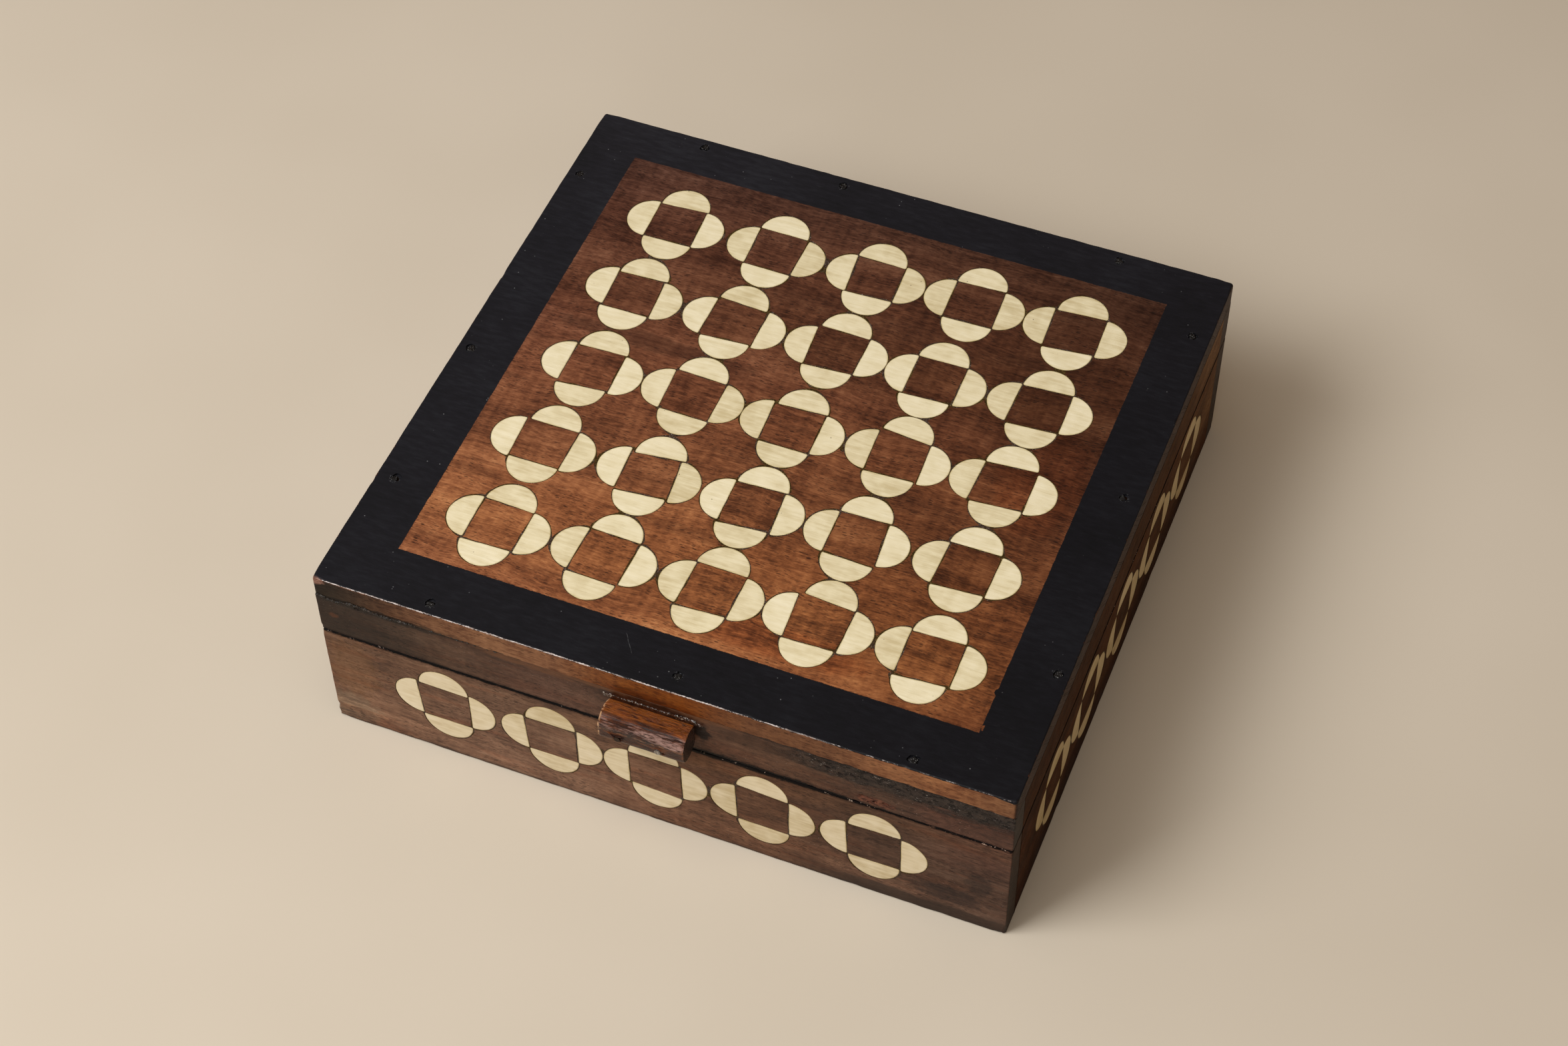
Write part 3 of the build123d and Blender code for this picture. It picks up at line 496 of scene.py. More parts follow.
# ---------------------------------------------------------------------------
# material nodes
# ---------------------------------------------------------------------------
class Graph:
    """Short names for the nodes of one material."""

    def __init__(self, name):
        self.mat = bpy.data.materials.new(name)
        self.mat.use_nodes = True
        self.t = self.mat.node_tree
        self.t.nodes.clear()
        self.out = self.t.nodes.new("ShaderNodeOutputMaterial")
        self.bsdf = self.t.nodes.new("ShaderNodeBsdfPrincipled")
        self.t.links.new(self.bsdf.outputs[0], self.out.inputs["Surface"])
        tc = self.t.nodes.new("ShaderNodeTexCoord")
        self.p = self.vscale(tc.outputs["Object"], (1000.0, 1000.0, 1000.0))
        self.x, self.y, self.z = self.split(self.p)
        geo = self.t.nodes.new("ShaderNodeNewGeometry")
        self.nx, self.ny, self.nz = self.split(geo.outputs["Normal"])
        self.pointy = geo.outputs["Pointiness"]

    def put(self, socket, value):
        if isinstance(value, bpy.types.NodeSocket):
            self.t.links.new(value, socket)
        elif isinstance(value, (tuple, list)) and len(value) == 3 and socket.type == "RGBA":
            socket.default_value = (*value, 1.0)
        else:
            socket.default_value = value

    def math(self, op, a, b=0.0, c=None, clamp=False):
        n = self.t.nodes.new("ShaderNodeMath")
        n.operation, n.use_clamp = op, clamp
        self.put(n.inputs[0], a)
        self.put(n.inputs[1], b)
        if c is not None:
            self.put(n.inputs[2], c)
        return n.outputs[0]

    def add(self, a, b):
        return self.math("ADD", a, b)

    def sub(self, a, b):
        return self.math("SUBTRACT", a, b)

    def mul(self, a, b):
        return self.math("MULTIPLY", a, b)

    def mx(self, a, b):
        return self.math("MAXIMUM", a, b)

    def mn(self, a, b):
        return self.math("MINIMUM", a, b)

    def inv(self, a):
        return self.math("SUBTRACT", 1.0, a)

    def split(self, v):
        n = self.t.nodes.new("ShaderNodeSeparateXYZ")
        self.put(n.inputs[0], v)
        return n.outputs

    def vec(self, x, y, z):
        n = self.t.nodes.new("ShaderNodeCombineXYZ")
        for s, v in zip(n.inputs, (x, y, z)):
            self.put(s, v)
        return n.outputs[0]

    def vscale(self, v, k):
        n = self.t.nodes.new("ShaderNodeVectorMath")
        n.operation = "MULTIPLY"
        self.put(n.inputs[0], v)
        n.inputs[1].default_value = k
        return n.outputs[0]

    def vadd(self, v, k):
        n = self.t.nodes.new("ShaderNodeVectorMath")
        n.operation = "ADD"
        self.put(n.inputs[0], v)
        if isinstance(k, bpy.types.NodeSocket):
            self.put(n.inputs[1], k)
        else:
            n.inputs[1].default_value = k
        return n.outputs[0]

    def noise(self, size, seed=0.0, detail=2.0, rough=0.5, v=None, distort=0.0):
        """Noise with features about size mm (a number or one for each axis)."""
        if isinstance(size, (int, float)):
            size = (size, size, size)
        v = self.p if v is None else v
        v = self.vscale(v, tuple(1.0 / s for s in size))
        v = self.vadd(v, (seed * 7.31, seed * 3.17 + 11.0, seed * 5.71 - 4.0))
        n = self.t.nodes.new("ShaderNodeTexNoise")
        self.put(n.inputs["Vector"], v)
        n.inputs["Scale"].default_value = 1.0
        n.inputs["Detail"].default_value = detail
        n.inputs["Roughness"].default_value = rough
        n.inputs["Distortion"].default_value = distort
        return n.outputs[0]

    def cells(self, size, seed=0.0, random=1.0, v=None, flat=False):
        """Distance to scattered points about size mm apart."""
        if isinstance(size, (int, float)):
            size = (size, size, size)
        v = self.p if v is None else v
        v = self.vscale(v, tuple(1.0 / s for s in size))
        v = self.vadd(v, (seed * 5.31, seed * 2.17 + 1.0, seed * 3.71 - 4.0))
        n = self.t.nodes.new("ShaderNodeTexVoronoi")
        n.voronoi_dimensions = "2D" if flat else "3D"
        self.put(n.inputs["Vector"], v)
        n.inputs["Scale"].default_value = 1.0
        n.inputs["Randomness"].default_value = random
        return n.outputs["Distance"], n.outputs["Color"]

    def step(self, v, a, b, lo=0.0, hi=1.0):
        """Smooth change from lo at a to hi at b."""
        n = self.t.nodes.new("ShaderNodeMapRange")
        n.interpolation_type = "SMOOTHSTEP"
        self.put(n.inputs[0], v)
        if a > b:
            a, b, lo, hi = b, a, hi, lo
        for s, k in zip(n.inputs[1:5], (a, b, lo, hi)):
            self.put(s, k)
        return n.outputs[0]

    def line(self, v, a, b, lo=0.0, hi=1.0):
        n = self.t.nodes.new("ShaderNodeMapRange")
        n.interpolation_type = "LINEAR"
        self.put(n.inputs[0], v)
        for s, k in zip(n.inputs[1:5], (a, b, lo, hi)):
            self.put(s, k)
        return n.outputs[0]

    def ramp(self, v, stops, how="LINEAR"):
        n = self.t.nodes.new("ShaderNodeValToRGB")
        n.color_ramp.interpolation = how
        while len(n.color_ramp.elements) < len(stops):
            n.color_ramp.elements.new(0.5)
        for e, (pos, col) in zip(n.color_ramp.elements, stops):
            e.position, e.color = pos, (*col, 1.0)
        self.put(n.inputs[0], v)
        return n.outputs[0]

    def mix(self, f, a, b, how="MIX"):
        n = self.t.nodes.new("ShaderNodeMix")
        n.data_type, n.blend_type = "RGBA", how
        self.put(n.inputs[0], f)
        self.put(n.inputs[6], a)
        self.put(n.inputs[7], b)
        return n.outputs[2]

    def attr(self, name):
        n = self.t.nodes.new("ShaderNodeAttribute")
        n.attribute_type, n.attribute_name = "GEOMETRY", name
        return n.outputs["Fac"]

    def around(self, x, y, z, rx, ry, rz, rag=0.0, seed=0.0):
        """1 in an ellipsoid about a place, falling to 0 at its edge."""
        def part(c, o, r):
            return self.math("POWER", self.math("ABSOLUTE", self.mul(self.sub(c, o), 1.0 / r)), 2.0)
        d = self.add(self.add(part(self.x, x, rx), part(self.y, y, ry)), part(self.z, z, rz))
        if rag:
            d = self.add(d, self.mul(self.sub(self.noise(min(rx, ry, rz) * 0.7, seed, 3.0), 0.5), rag))
        return self.step(d, 1.0, 0.35)

    def finish(self, color=None, rough=None, height=None, depth=1.0, normal=None, **fixed):
        if color is not None:
            self.put(self.bsdf.inputs["Base Color"], color)
        if rough is not None:
            self.put(self.bsdf.inputs["Roughness"], rough)
        if height is not None:
            n = self.t.nodes.new("ShaderNodeBump")
            n.inputs["Strength"].default_value = 1.0
            n.inputs["Distance"].default_value = MM * depth
            self.put(n.inputs["Height"], height)
            self.t.links.new(n.outputs[0], self.bsdf.inputs["Normal"])
        for k, v in fixed.items():
            self.bsdf.inputs[k.replace("_", " ")].default_value = v
        return self.mat


def srgb(r, g, b, k=1.0):
    """A colour seen as r, g, b (0 to 255), as light."""
    out = []
    for c in (r, g, b):
        c = c / 255.0
        c = c / 12.92 if c <= 0.04045 else ((c + 0.055) / 1.055) ** 2.4
        out.append(c * k)
    return tuple(out)


def grained(g, along, seed, stops, pore=(0.015, 0.008, 0.005), pores=0.8, streaks=1.0,
            mottle=1.0, ripple=0.35, shift=None, big=1.0):
    """Hardwood: broad streaks, fine fibres, blotches, ripple across the grain and
    short dark pores. Returns its colour, its height in mm, a mask of the pores and
    how light the wood is."""
    c = {"X": (g.x, g.y, g.z), "Y": (g.y, g.x, g.z), "Z": (g.z, g.x, g.y)}[along]
    a, b, d = c
    sway = g.mul(g.sub(g.noise(60.0, seed, 1.5), 0.5), 9.0)
    sway2 = g.mul(g.sub(g.noise(13.0, seed + 3, 1.5), 0.5), 1.5)
    b = g.add(g.add(b, sway), sway2)
    d = g.add(d, g.mul(sway2, 0.5))
    v = g.vec(a, b, d)
    broad = g.noise((120.0, 9.0, 9.0), seed + 1, 3.0, 0.55, v)
    mid = g.noise((30.0, 1.9, 1.9), seed + 2, 3.0, 0.62, v)
    fine = g.noise((9.0, 0.42, 0.42), seed + 4, 2.0, 0.6, v)
    spots = g.noise((3.6, 1.3, 1.3), seed + 9, 3.0, 0.68, v)
    across = g.noise((2.7, 16.0, 16.0), seed + 5, 2.0, 0.5, v)
    cloud = g.noise(24.0, seed + 6, 2.0)
    t = g.add(g.mul(g.sub(broad, 0.5), 1.25 * streaks), g.mul(g.sub(mid, 0.5), 0.60 * streaks))
    t = g.add(t, g.mul(g.sub(fine, 0.5), 0.55))
    t = g.add(t, g.mul(g.sub(spots, 0.5), 0.72 * mottle))
    t = g.add(t, g.mul(g.sub(across, 0.5), ripple))
    t = g.add(t, g.mul(g.sub(cloud, 0.5), 0.55))
    t = g.add(t, 0.5)
    if shift is not None:
        t = g.add(t, shift)
    color = g.ramp(t, stops)
    # pores: long thin cells, one dark dash in each, of uneven length and depth
    where = g.step(g.noise((24.0, 6.0, 6.0), seed + 8, 2.0), 0.36, 0.60, 0.25, 1.0)
    flat = g.vec(a, g.add(g.add(b, g.mul(sway2, 0.4)), d), 0.0)
    dist, col = g.cells((3.8 * big, 0.90 * big, 1.0), seed + 7.0, v=flat, flat=True)
    c3 = g.split(col)
    dash = g.mul(g.step(g.sub(dist, g.mul(c3[0], 0.18)), 0.10, 0.05), g.line(c3[1], 0.0, 1.0, 0.35, 1.0))
    dist2, col2 = g.cells((2.3 * big, 0.46 * big, 1.0), seed + 10.0, v=flat, flat=True)
    d3 = g.split(col2)
    dash2 = g.mul(g.step(g.sub(dist2, g.mul(d3[0], 0.18)), 0.14, 0.04), g.line(d3[1], 0.1, 1.0, 0.0, 0.75))
    mask = g.mx(g.mul(dash, where), g.mul(dash2, g.mul(where, 0.8)))
    color = g.mix(g.mul(mask, pores), color, pore)
    height = g.add(g.mul(mask, -0.050), g.add(g.mul(fine, 0.022), g.mul(spots, 0.014)))
    return color, height, mask, t


def along_ramp(g, v, lo, hi, stops):
    """A colour factor that changes with the place v, from lo to hi in mm."""
    k = g.line(v, lo, hi)
    return g.ramp(k, [((p - lo) / (hi - lo), c) for p, c in stops])


# ---------------------------------------------------------------------------
# the materials
# ---------------------------------------------------------------------------
FIELD = [(-106.0, 104.7), (107.0, 104.1), (106.3, -102.0), (-104.7, -101.7)]  # corners of the bare field


def field_edge(g):
    """How far a point lies outside the bare field, in mm, by its four edges."""
    out = None
    n = len(FIELD)
    for i in range(n):
        (x0, y0), (x1, y1) = FIELD[i], FIELD[(i + 1) % n]
        ex, ey = x1 - x0, y1 - y0
        k = math.hypot(ex, ey)
        a, b = -ey / k, ex / k          # corners run clockwise, so this looks out
        d = g.sub(g.add(g.mul(g.x, a), g.mul(g.y, b)), a * x0 + b * y0)
        out = d if out is None else g.mx(out, d)
    return out


def near_pins(g, pins, r0, r1):
    """1 within r0 mm of any of the (x, y) places, 0 beyond r1."""
    best = None
    for x, y in pins:
        d = g.math("SQRT", g.add(g.math("POWER", g.sub(g.x, x), 2.0), g.math("POWER", g.sub(g.y, y), 2.0)))
        best = d if best is None else g.mn(best, d)
    return best, g.step(best, r1, r0)


def lid_wood():
    g = Graph("lid_wood")
    stops = [(0.0, srgb(52, 28, 18)), (0.25, srgb(84, 48, 31)), (0.5, srgb(119, 72, 47)),
             (0.75, srgb(146, 94, 63)), (1.0, srgb(170, 118, 82))]
    wood, wh, pores, t = grained(g, "X", 1.0, stops, pore=(0.014, 0.006, 0.004), pores=0.78,
                                 streaks=0.72, mottle=1.20, ripple=0.42)
    # lighter towards the front, darker and redder to the back and the right
    wood = g.mix(1.0, wood, along_ramp(g, g.y, -124.0, 124.0, [
        (-104.0, (1.27, 1.27, 1.22)), (-80.0, (1.50, 1.55, 1.36)), (-60.0, (1.38, 1.40, 1.28)), (-40.0, (1.15, 1.20, 1.20)),
        (-4.0, (1.04, 1.06, 1.14)), (18.0, (0.82, 0.84, 1.00)), (38.0, (0.71, 0.75, 0.88)), (77.0, (0.60, 0.65, 0.86)), (104.0, (0.49, 0.60, 0.90))]), "MULTIPLY")
    wood = g.mix(1.0, wood, along_ramp(g, g.x, -127.0, 127.0, [
        (-106.0, (0.94, 0.95, 1.0)), (-70.0, (0.95, 0.95, 0.96)), (0.0, (0.97, 0.96, 0.90)), (80.0, (0.69, 0.65, 0.57)), (106.0, (0.66, 0.62, 0.56))]), "MULTIPLY")
    # dark purplish bands and clouds between the motifs
    band = g.noise((60.0, 7.0, 9.0), 21.0, 3.0, 0.6)
    dark = g.mul(g.step(band, 0.56, 0.72), 0.45)
    for x, y, rx, ry, k in ((-62.0, 18.0, 46.0, 5.0, 0.75), (20.0, 57.0, 70.0, 6.0, 0.45), (-96.0, -60.0, 14.0, 3.0, 0.4),
                            (-15.0, -59.0, 22.0, 3.2, 0.45), (56.0, -20.0, 40.0, 5.0, 0.35), (98.0, -8.0, 9.0, 20.0, 0.35)):
        dark = g.mx(dark, g.mul(g.around(x, y, H, rx, ry, 6.0, 1.1, 3.0 + x * 0.01), k))
    wood = g.mix(g.mul(dark, 0.75), wood, g.mix(0.22, srgb(40, 23, 18), wood))
    redder = g.mul(g.mx(g.around(92.0, 6.0, H, 18.0, 30.0, 6.0, 0.9, 16.0), g.around(30.0, -92.0, H, 40.0, 8.0, 6.0, 0.9, 17.0)), 0.6)
    wood = g.mix(redder, wood, g.mix(1.0, wood, (1.06, 0.84, 0.70), "MULTIPLY"))
    dimmer = g.mx(g.around(100.0, 52.0, H, 50.0, 66.0, 6.0, 0.5, 18.0), g.around(10.0, 38.0, H, 34.0, 17.0, 6.0, 0.8, 19.0))
    wood = g.mix(dimmer, wood, g.mix(1.0, wood, (0.79, 0.79, 0.80), "MULTIPLY"))
    lighter = g.around(50.0, -88.0, H, 68.0, 18.0, 6.0, 0.6, 20.0)
    wood = g.mix(lighter, wood, g.mix(1.0, wood, (1.21, 1.25, 1.24), "MULTIPLY"))
    # the wood's own edges: cut faces, warmer, stained dark at the left and near the pull
    side = g.step(g.z, H - 0.35, H - 0.7)
    cut_plain = g.ramp(t, [(0.0, srgb(70, 40, 26)), (0.3, srgb(108, 68, 45)), (0.5, srgb(134, 92, 64)), (0.75, srgb(154, 110, 78)), (1.0, srgb(172, 128, 94))])
    cut_wood = g.mix(1.0, cut_plain,
                     along_ramp(g, g.x, -127.0, 127.0, [
                         (-125.0, (0.07, 0.10, 0.12)), (-112.0, (0.14, 0.16, 0.19)), (-100.0, (0.36, 0.36, 0.36)), (-84.0, (0.67, 0.66, 0.66)), (-60.0, (0.92, 0.95, 0.97)),
                         (-36.0, (0.84, 0.82, 0.82)), (-18.0, (0.80, 0.56, 0.24)), (10.0, (0.76, 0.46, 0.13)), (34.0, (0.53, 0.45, 0.38)), (62.0, (0.58, 0.53, 0.50)),
                         (80.0, (0.91, 0.83, 0.74)), (104.0, (1.08, 0.98, 0.84)), (124.0, (0.84, 0.84, 0.80))]), "MULTIPLY")
    cut_wood = g.mix(g.mul(pores, 0.75), cut_wood, srgb(30, 17, 11))
    cut_wood = g.mix(g.mul(g.step(g.x, -W2 + 0.9, -W2 + 0.3), g.step(g.y, -D2 + 1.0, -D2 + 8.0)), cut_wood, g.mix(1.0, cut_plain, (0.52, 0.47, 0.42), "MULTIPLY"))
    stain = g.mul(g.mul(g.around(-8.0, -D2, 70.0, 20.0, 3.0, 7.0, 1.6, 14.0), g.step(g.y, -D2 + 1.0, -D2 + 0.5)), 0.66)
    cut_wood = g.mix(stain, cut_wood, g.ramp(g.noise((5.0, 5.0, 1.3), 15.0, 3.0), [(0.35, srgb(60, 30, 13)), (0.65, srgb(118, 62, 25))]))
    over = g.mul(g.mul(g.step(g.x, -19.0, -11.0), g.step(g.x, 20.0, 10.0)), g.step(g.add(g.z, g.mul(g.sub(g.noise((9.0, 9.0, 3.0), 24.0, 2.0), 0.5), 4.0)), RIM_TOP + 5.2, RIM_TOP + 1.0))
    cut_wood = g.mix(over, cut_wood, g.mix(1.0, cut_wood, (0.64, 0.50, 0.30), "MULTIPLY"))
    # painted shade: the board's right end face, turned away from the key light, is made much darker
    cut_wood = g.mix(g.step(g.x, W2 - 1.0, W2 - 0.3), cut_wood, g.mix(1.0, cut_wood, (0.17, 0.10, 0.03), "MULTIPLY"))
    wood = g.mix(side, wood, cut_wood)
    wood_rough = g.add(0.46, g.mul(g.noise(6.0, 31.0, 3.0), 0.16))
    wood_rough = g.add(wood_rough, g.mul(pores, 0.2))

    # paint on the border, over the arris, its inner edge a little ragged
    rag = g.add(g.mul(g.sub(g.noise(3.2, 41.0, 3.0, 0.6), 0.5), 0.60),
                g.mul(g.sub(g.noise(0.55, 42.0, 1.0), 0.5), 0.34))
    notch = g.mul(g.around(106.6, -84.5, H, 1.3, 1.6, 4.0, 0.5, 3.0), 1.2)
    bump_out = g.mul(g.around(107.4, -99.8, H, 1.2, 1.8, 4.0, 0.5, 5.0), 0.9)
    edge = g.sub(g.add(g.add(field_edge(g), rag), notch), bump_out)
    inside = g.step(edge, -0.10, 0.12)
    drip = g.mul(g.sub(g.noise(2.4, 43.0, 3.0), 0.5), 0.6)
    right_lap = g.mul(g.step(g.x, W2 - 8.0, W2 - 2.0), g.mul(g.step(g.y, -D2 + 5.0, -D2 + 1.0), 0.7))
    lap = g.sub(g.add(H - 0.45, drip), right_lap)
    on_top = g.step(g.sub(g.z, lap), -0.05, 0.08)
    paint = g.mul(inside, on_top)
    # pin holes are painted inside too
    pin_d, pin_near = near_pins(g, TOP_PINS, 2.9, 3.2)
    paint = g.mx(paint, g.mul(pin_near, g.step(g.z, H - 1.2, H - 1.1)))
    # worn through along the front arris: a thin white line
    wear_n = g.noise((3.4, 0.8, 0.8), 44.0, 3.0, 0.65)
    wide = g.add(g.add(0.26, g.mul(g.sub(wear_n, 0.5), 0.70)), g.mul(g.sub(g.noise((0.55, 0.4, 0.4), 40.0, 2.0, 0.6), 0.5), 0.55))
    # distance from the arris, over the corner
    reach = g.mx(g.sub(g.y, -D2), g.sub(H, g.z))
    worn = g.step(g.sub(reach, wide), 0.10, -0.04)
    worn = g.mul(worn, g.step(g.noise((9.0, 2.0, 2.0), 48.0, 2.0), 0.30, 0.40, 0.35, 1.0))
    broken = g.mul(g.step(g.noise((2.2, 0.8, 0.8), 39.0, 2.0, 0.6), 0.50, 0.58), 0.75)
    keep = g.step(g.x, 44.0, 66.0)
    worn = g.mul(worn, g.add(g.inv(keep), g.mul(g.mul(keep, broken), g.step(g.x, 62.0, 92.0, 1.0, 0.62))))
    corner_wear = g.mul(g.around(-W2, -D2, H - 1.3, 5.5, 2.0, 2.2, 0.9, 4.0), g.step(g.y, -D2 + 1.4, -D2 + 0.3))
    other = g.mx(g.step(g.x, W2 - 0.6, W2 - 0.15), g.mx(g.step(g.x, -W2 + 0.6, -W2 + 0.15), g.step(g.y, D2 - 0.6, D2 - 0.15)))
    worn2 = g.mul(g.mul(other, g.step(g.z, H - 0.7, H - 0.3)), g.step(g.noise((2.5, 2.5, 0.8), 45.0, 3.0, 0.6), 0.56, 0.66))
    paint = g.mul(paint, g.inv(g.mul(worn2, 0.5)))

    mottle = g.noise((7.0, 1.8, 1.8), 51.0, 4.0, 0.62)
    patch = g.noise(38.0, 52.0, 2.0)
    pt = g.add(g.mul(mottle, 0.55), g.mul(patch, 0.45))
    black = g.ramp(pt, [(0.25, srgb(13, 14, 16)), (0.5, srgb(20, 20, 24)), (0.75, srgb(29, 30, 34))])
    black = g.mix(1.0, black, along_ramp(g, g.x, -127.0, 127.0, [(-120.0, (1.42, 1.45, 1.50)), (0.0, (1.09, 1.12, 1.18)), (120.0, (0.88, 0.90, 0.97))]), "MULTIPLY")
    black = g.mix(1.0, black, along_ramp(g, g.y, -D2, D2, [(-100.0, (1.0, 1.0, 1.0)), (60.0, (1.22, 1.23, 1.23)), (118.0, (1.56, 1.54, 1.52))]), "MULTIPLY")
    # fine pale specks and rubbed places
    dist, col = g.cells(2.3, 61.0)
    c3 = g.split(col)
    speck_on = g.step(g.noise(17.0, 62.0, 2.0), 0.46, 0.62)
    speck = g.mul(g.mul(g.step(dist, 0.13, 0.04), g.step(c3[0], 0.74, 0.78)), speck_on)
    speck = g.mul(speck, g.line(c3[2], 0.0, 1.0, 0.2, 1.0))
    rub = g.mul(g.step(g.noise((5.0, 1.3, 3.0), 63.0, 4.0, 0.7), 0.62, 0.78), 0.5)
    black = g.mix(g.mul(rub, 0.30), black, srgb(62, 64, 68))
    black = g.mix(g.mul(speck, 0.80), black, srgb(170, 174, 178))
    # a short fine scratch, running back from the front edge, and scuffs round it
    sx = g.mul(g.sub(g.x, g.add(g.mul(g.add(g.y, 106.8), -0.714), -17.06)), 0.81)
    scratch = g.mul(g.step(g.math("ABSOLUTE", g.add(sx, g.mul(g.sub(g.noise(3.0, 65.0, 1.0), 0.5), 0.7))), 0.15, 0.04),
                    g.mul(g.step(g.y, -114.2, -112.8), g.step(g.y, -106.0, -107.4)))
    scratch = g.mul(scratch, g.step(g.noise(1.1, 64.0, 1.0), 0.36, 0.50, 0.35, 1.0))
    black = g.mix(g.mul(scratch, 0.42), black, srgb(108, 110, 114))
    # scuffed rings about the pin plugs
    ring = g.mul(g.step(g.add(pin_d, g.mul(g.sub(g.noise(0.8, 66.0, 3.0, 0.6), 0.5), 2.6)), 2.3, 1.7), g.step(g.noise(0.7, 67.0, 3.0, 0.65), 0.56, 0.66))
    black = g.mix(g.mul(ring, 0.62), black, srgb(92, 94, 98))
    paint_rough = g.add(0.44, g.add(g.mul(g.noise(3.0, 53.0, 3.0), 0.16), g.mul(rub, 0.2)))

    color = g.mix(paint, wood, black)
    bare = g.ramp(g.noise((1.6, 0.5, 0.5), 46.0, 3.0, 0.7), [(0.30, srgb(112, 92, 84)), (0.45, srgb(170, 157, 152)), (0.60, srgb(212, 206, 205))])
    color = g.mix(worn, color, bare)
    color = g.mix(g.mul(corner_wear, 0.8), color, g.ramp(g.noise((2.0, 0.6, 0.6), 49.0, 3.0, 0.7), [(0.35, srgb(92, 60, 48)), (0.6, srgb(166, 124, 108))]))
    # grime along the joint with the rim, strongest at the front left
    left = g.mul(g.step(g.x, -62.0, -92.0), g.step(g.y, -D2 + 2.0, -D2 + 1.0))
    jn = g.noise((5.0, 5.0, 1.2), 47.0, 3.0, 0.6)
    line = g.step(g.add(g.sub(g.z, RIM_TOP), g.mul(g.sub(jn, 0.5), 2.4)), 0.55, 0.12, 0.0, 1.0)
    line2 = g.mul(g.step(g.add(g.sub(g.z, RIM_TOP), g.mul(g.sub(jn, 0.5), 4.0)), 1.9, 1.0), left)
    joint = g.mx(g.mul(line, g.step(g.noise(26.0, 50.0, 1.0), 0.42, 0.56, 0.30, 0.85)), g.mul(line2, 0.85))
    joint = g.mx(joint, g.mul(g.mul(line, 0.9), g.step(g.x, 30.0, 50.0)))
    color = g.mix(joint, color, srgb(20, 14, 11))
    # the underside, inside the rims, is bare: plain brown wood with a darker edge
    under = g.mul(g.step(g.z, RIM_TOP + 1.5, RIM_TOP + 1.1),
                  g.mul(g.step(g.math("ABSOLUTE", g.x), W2 - 2.2, W2 - 2.6), g.step(g.math("ABSOLUTE", g.y), D2 - 2.2, D2 - 2.6)))
    plain = g.ramp(t, [(0.1, srgb(88, 56, 38)), (0.5, srgb(128, 88, 62)), (0.9, srgb(156, 114, 82))])
    plain = g.mix(g.mul(pores, 0.5), plain, srgb(48, 30, 20))
    rubbed = g.mul(g.step(g.noise((34.0, 16.0, 5.0), 58.0, 4.0, 0.6), 0.52, 0.72), 0.35)
    plain = g.mix(rubbed, plain, srgb(84, 58, 42))
    by_rim = g.mx(g.step(g.math("ABSOLUTE", g.x), 109.0, 117.5), g.step(g.math("ABSOLUTE", g.y), 106.0, 114.3))
    plain = g.mix(g.mul(by_rim, 0.5), plain, srgb(52, 34, 25))
    color = g.mix(under, color, plain)
    rough = g.add(g.mul(paint_rough, paint), g.mul(wood_rough, g.inv(paint)))
    rough = g.mx(rough, g.mul(worn, 0.6))
    rough = g.add(rough, g.mul(under, 0.12))
    ph = g.add(g.mul(g.noise((3.0, 0.30, 0.30), 54.0, 2.0, 0.6), 0.030), g.mul(g.noise(1.1, 55.0, 2.0), 0.018))
    ph = g.add(ph, g.mul(pores, -0.012))
    ph = g.add(ph, g.mul(g.noise(14.0, 56.0, 1.0), 0.12))
    ph = g.add(ph, g.mul(ring, 0.05))
    height = g.add(g.mul(ph, paint), g.mul(g.add(wh, g.mul(g.noise(16.0, 57.0, 1.0), 0.10)), g.inv(paint)))
    return g.finish(color, rough, height, Specular_IOR_Level=0.14)


LONG = [(-124.0, (1.22, 1.30, 1.30)), (-60.0, (1.24, 1.40, 1.50)), (-36.0, (1.22, 1.36, 1.44)), (0.0, (1.02, 1.02, 1.0)),
        (40.0, (0.84, 0.82, 0.78)), (80.0, (0.68, 0.74, 0.80)), (124.0, (0.62, 0.70, 0.80))]
# on the right side these gains darken and warm the wood towards the front as painted shade, and lighten it towards the
# back as painted bounce light
RIGHT_SHADE_BOUNCE_LONG = [(-118.0, (0.70, 0.58, 0.40)), (-50.0, (0.76, 0.66, 0.46)), (0.0, (0.90, 0.82, 0.58)), (50.0, (1.00, 0.95, 0.72)), (84.0, (1.35, 1.50, 1.35)), (112.0, (1.9, 2.5, 2.7))]
RIM_RIGHT_SHADE_BOUNCE_LONG = [(-118.0, (0.86, 0.78, 0.55)), (-50.0, (0.85, 0.76, 0.50)), (0.0, (0.96, 0.94, 0.70)), (50.0, (1.07, 1.10, 0.84)), (78.0, (1.5, 1.75, 1.65)), (100.0, (2.9, 3.8, 3.9)), (118.0, (3.0, 3.9, 4.0))]
RIM_LONG = [(-124.0, (0.27, 0.32, 0.35)), (-100.0, (0.37, 0.43, 0.46)), (-80.0, (0.55, 0.58, 0.58)), (-40.0, (0.64, 0.64, 0.70)),
            (0.0, (0.60, 0.57, 0.55)), (50.0, (0.56, 0.53, 0.50)), (90.0, (0.50, 0.52, 0.56)), (124.0, (0.48, 0.53, 0.58))]


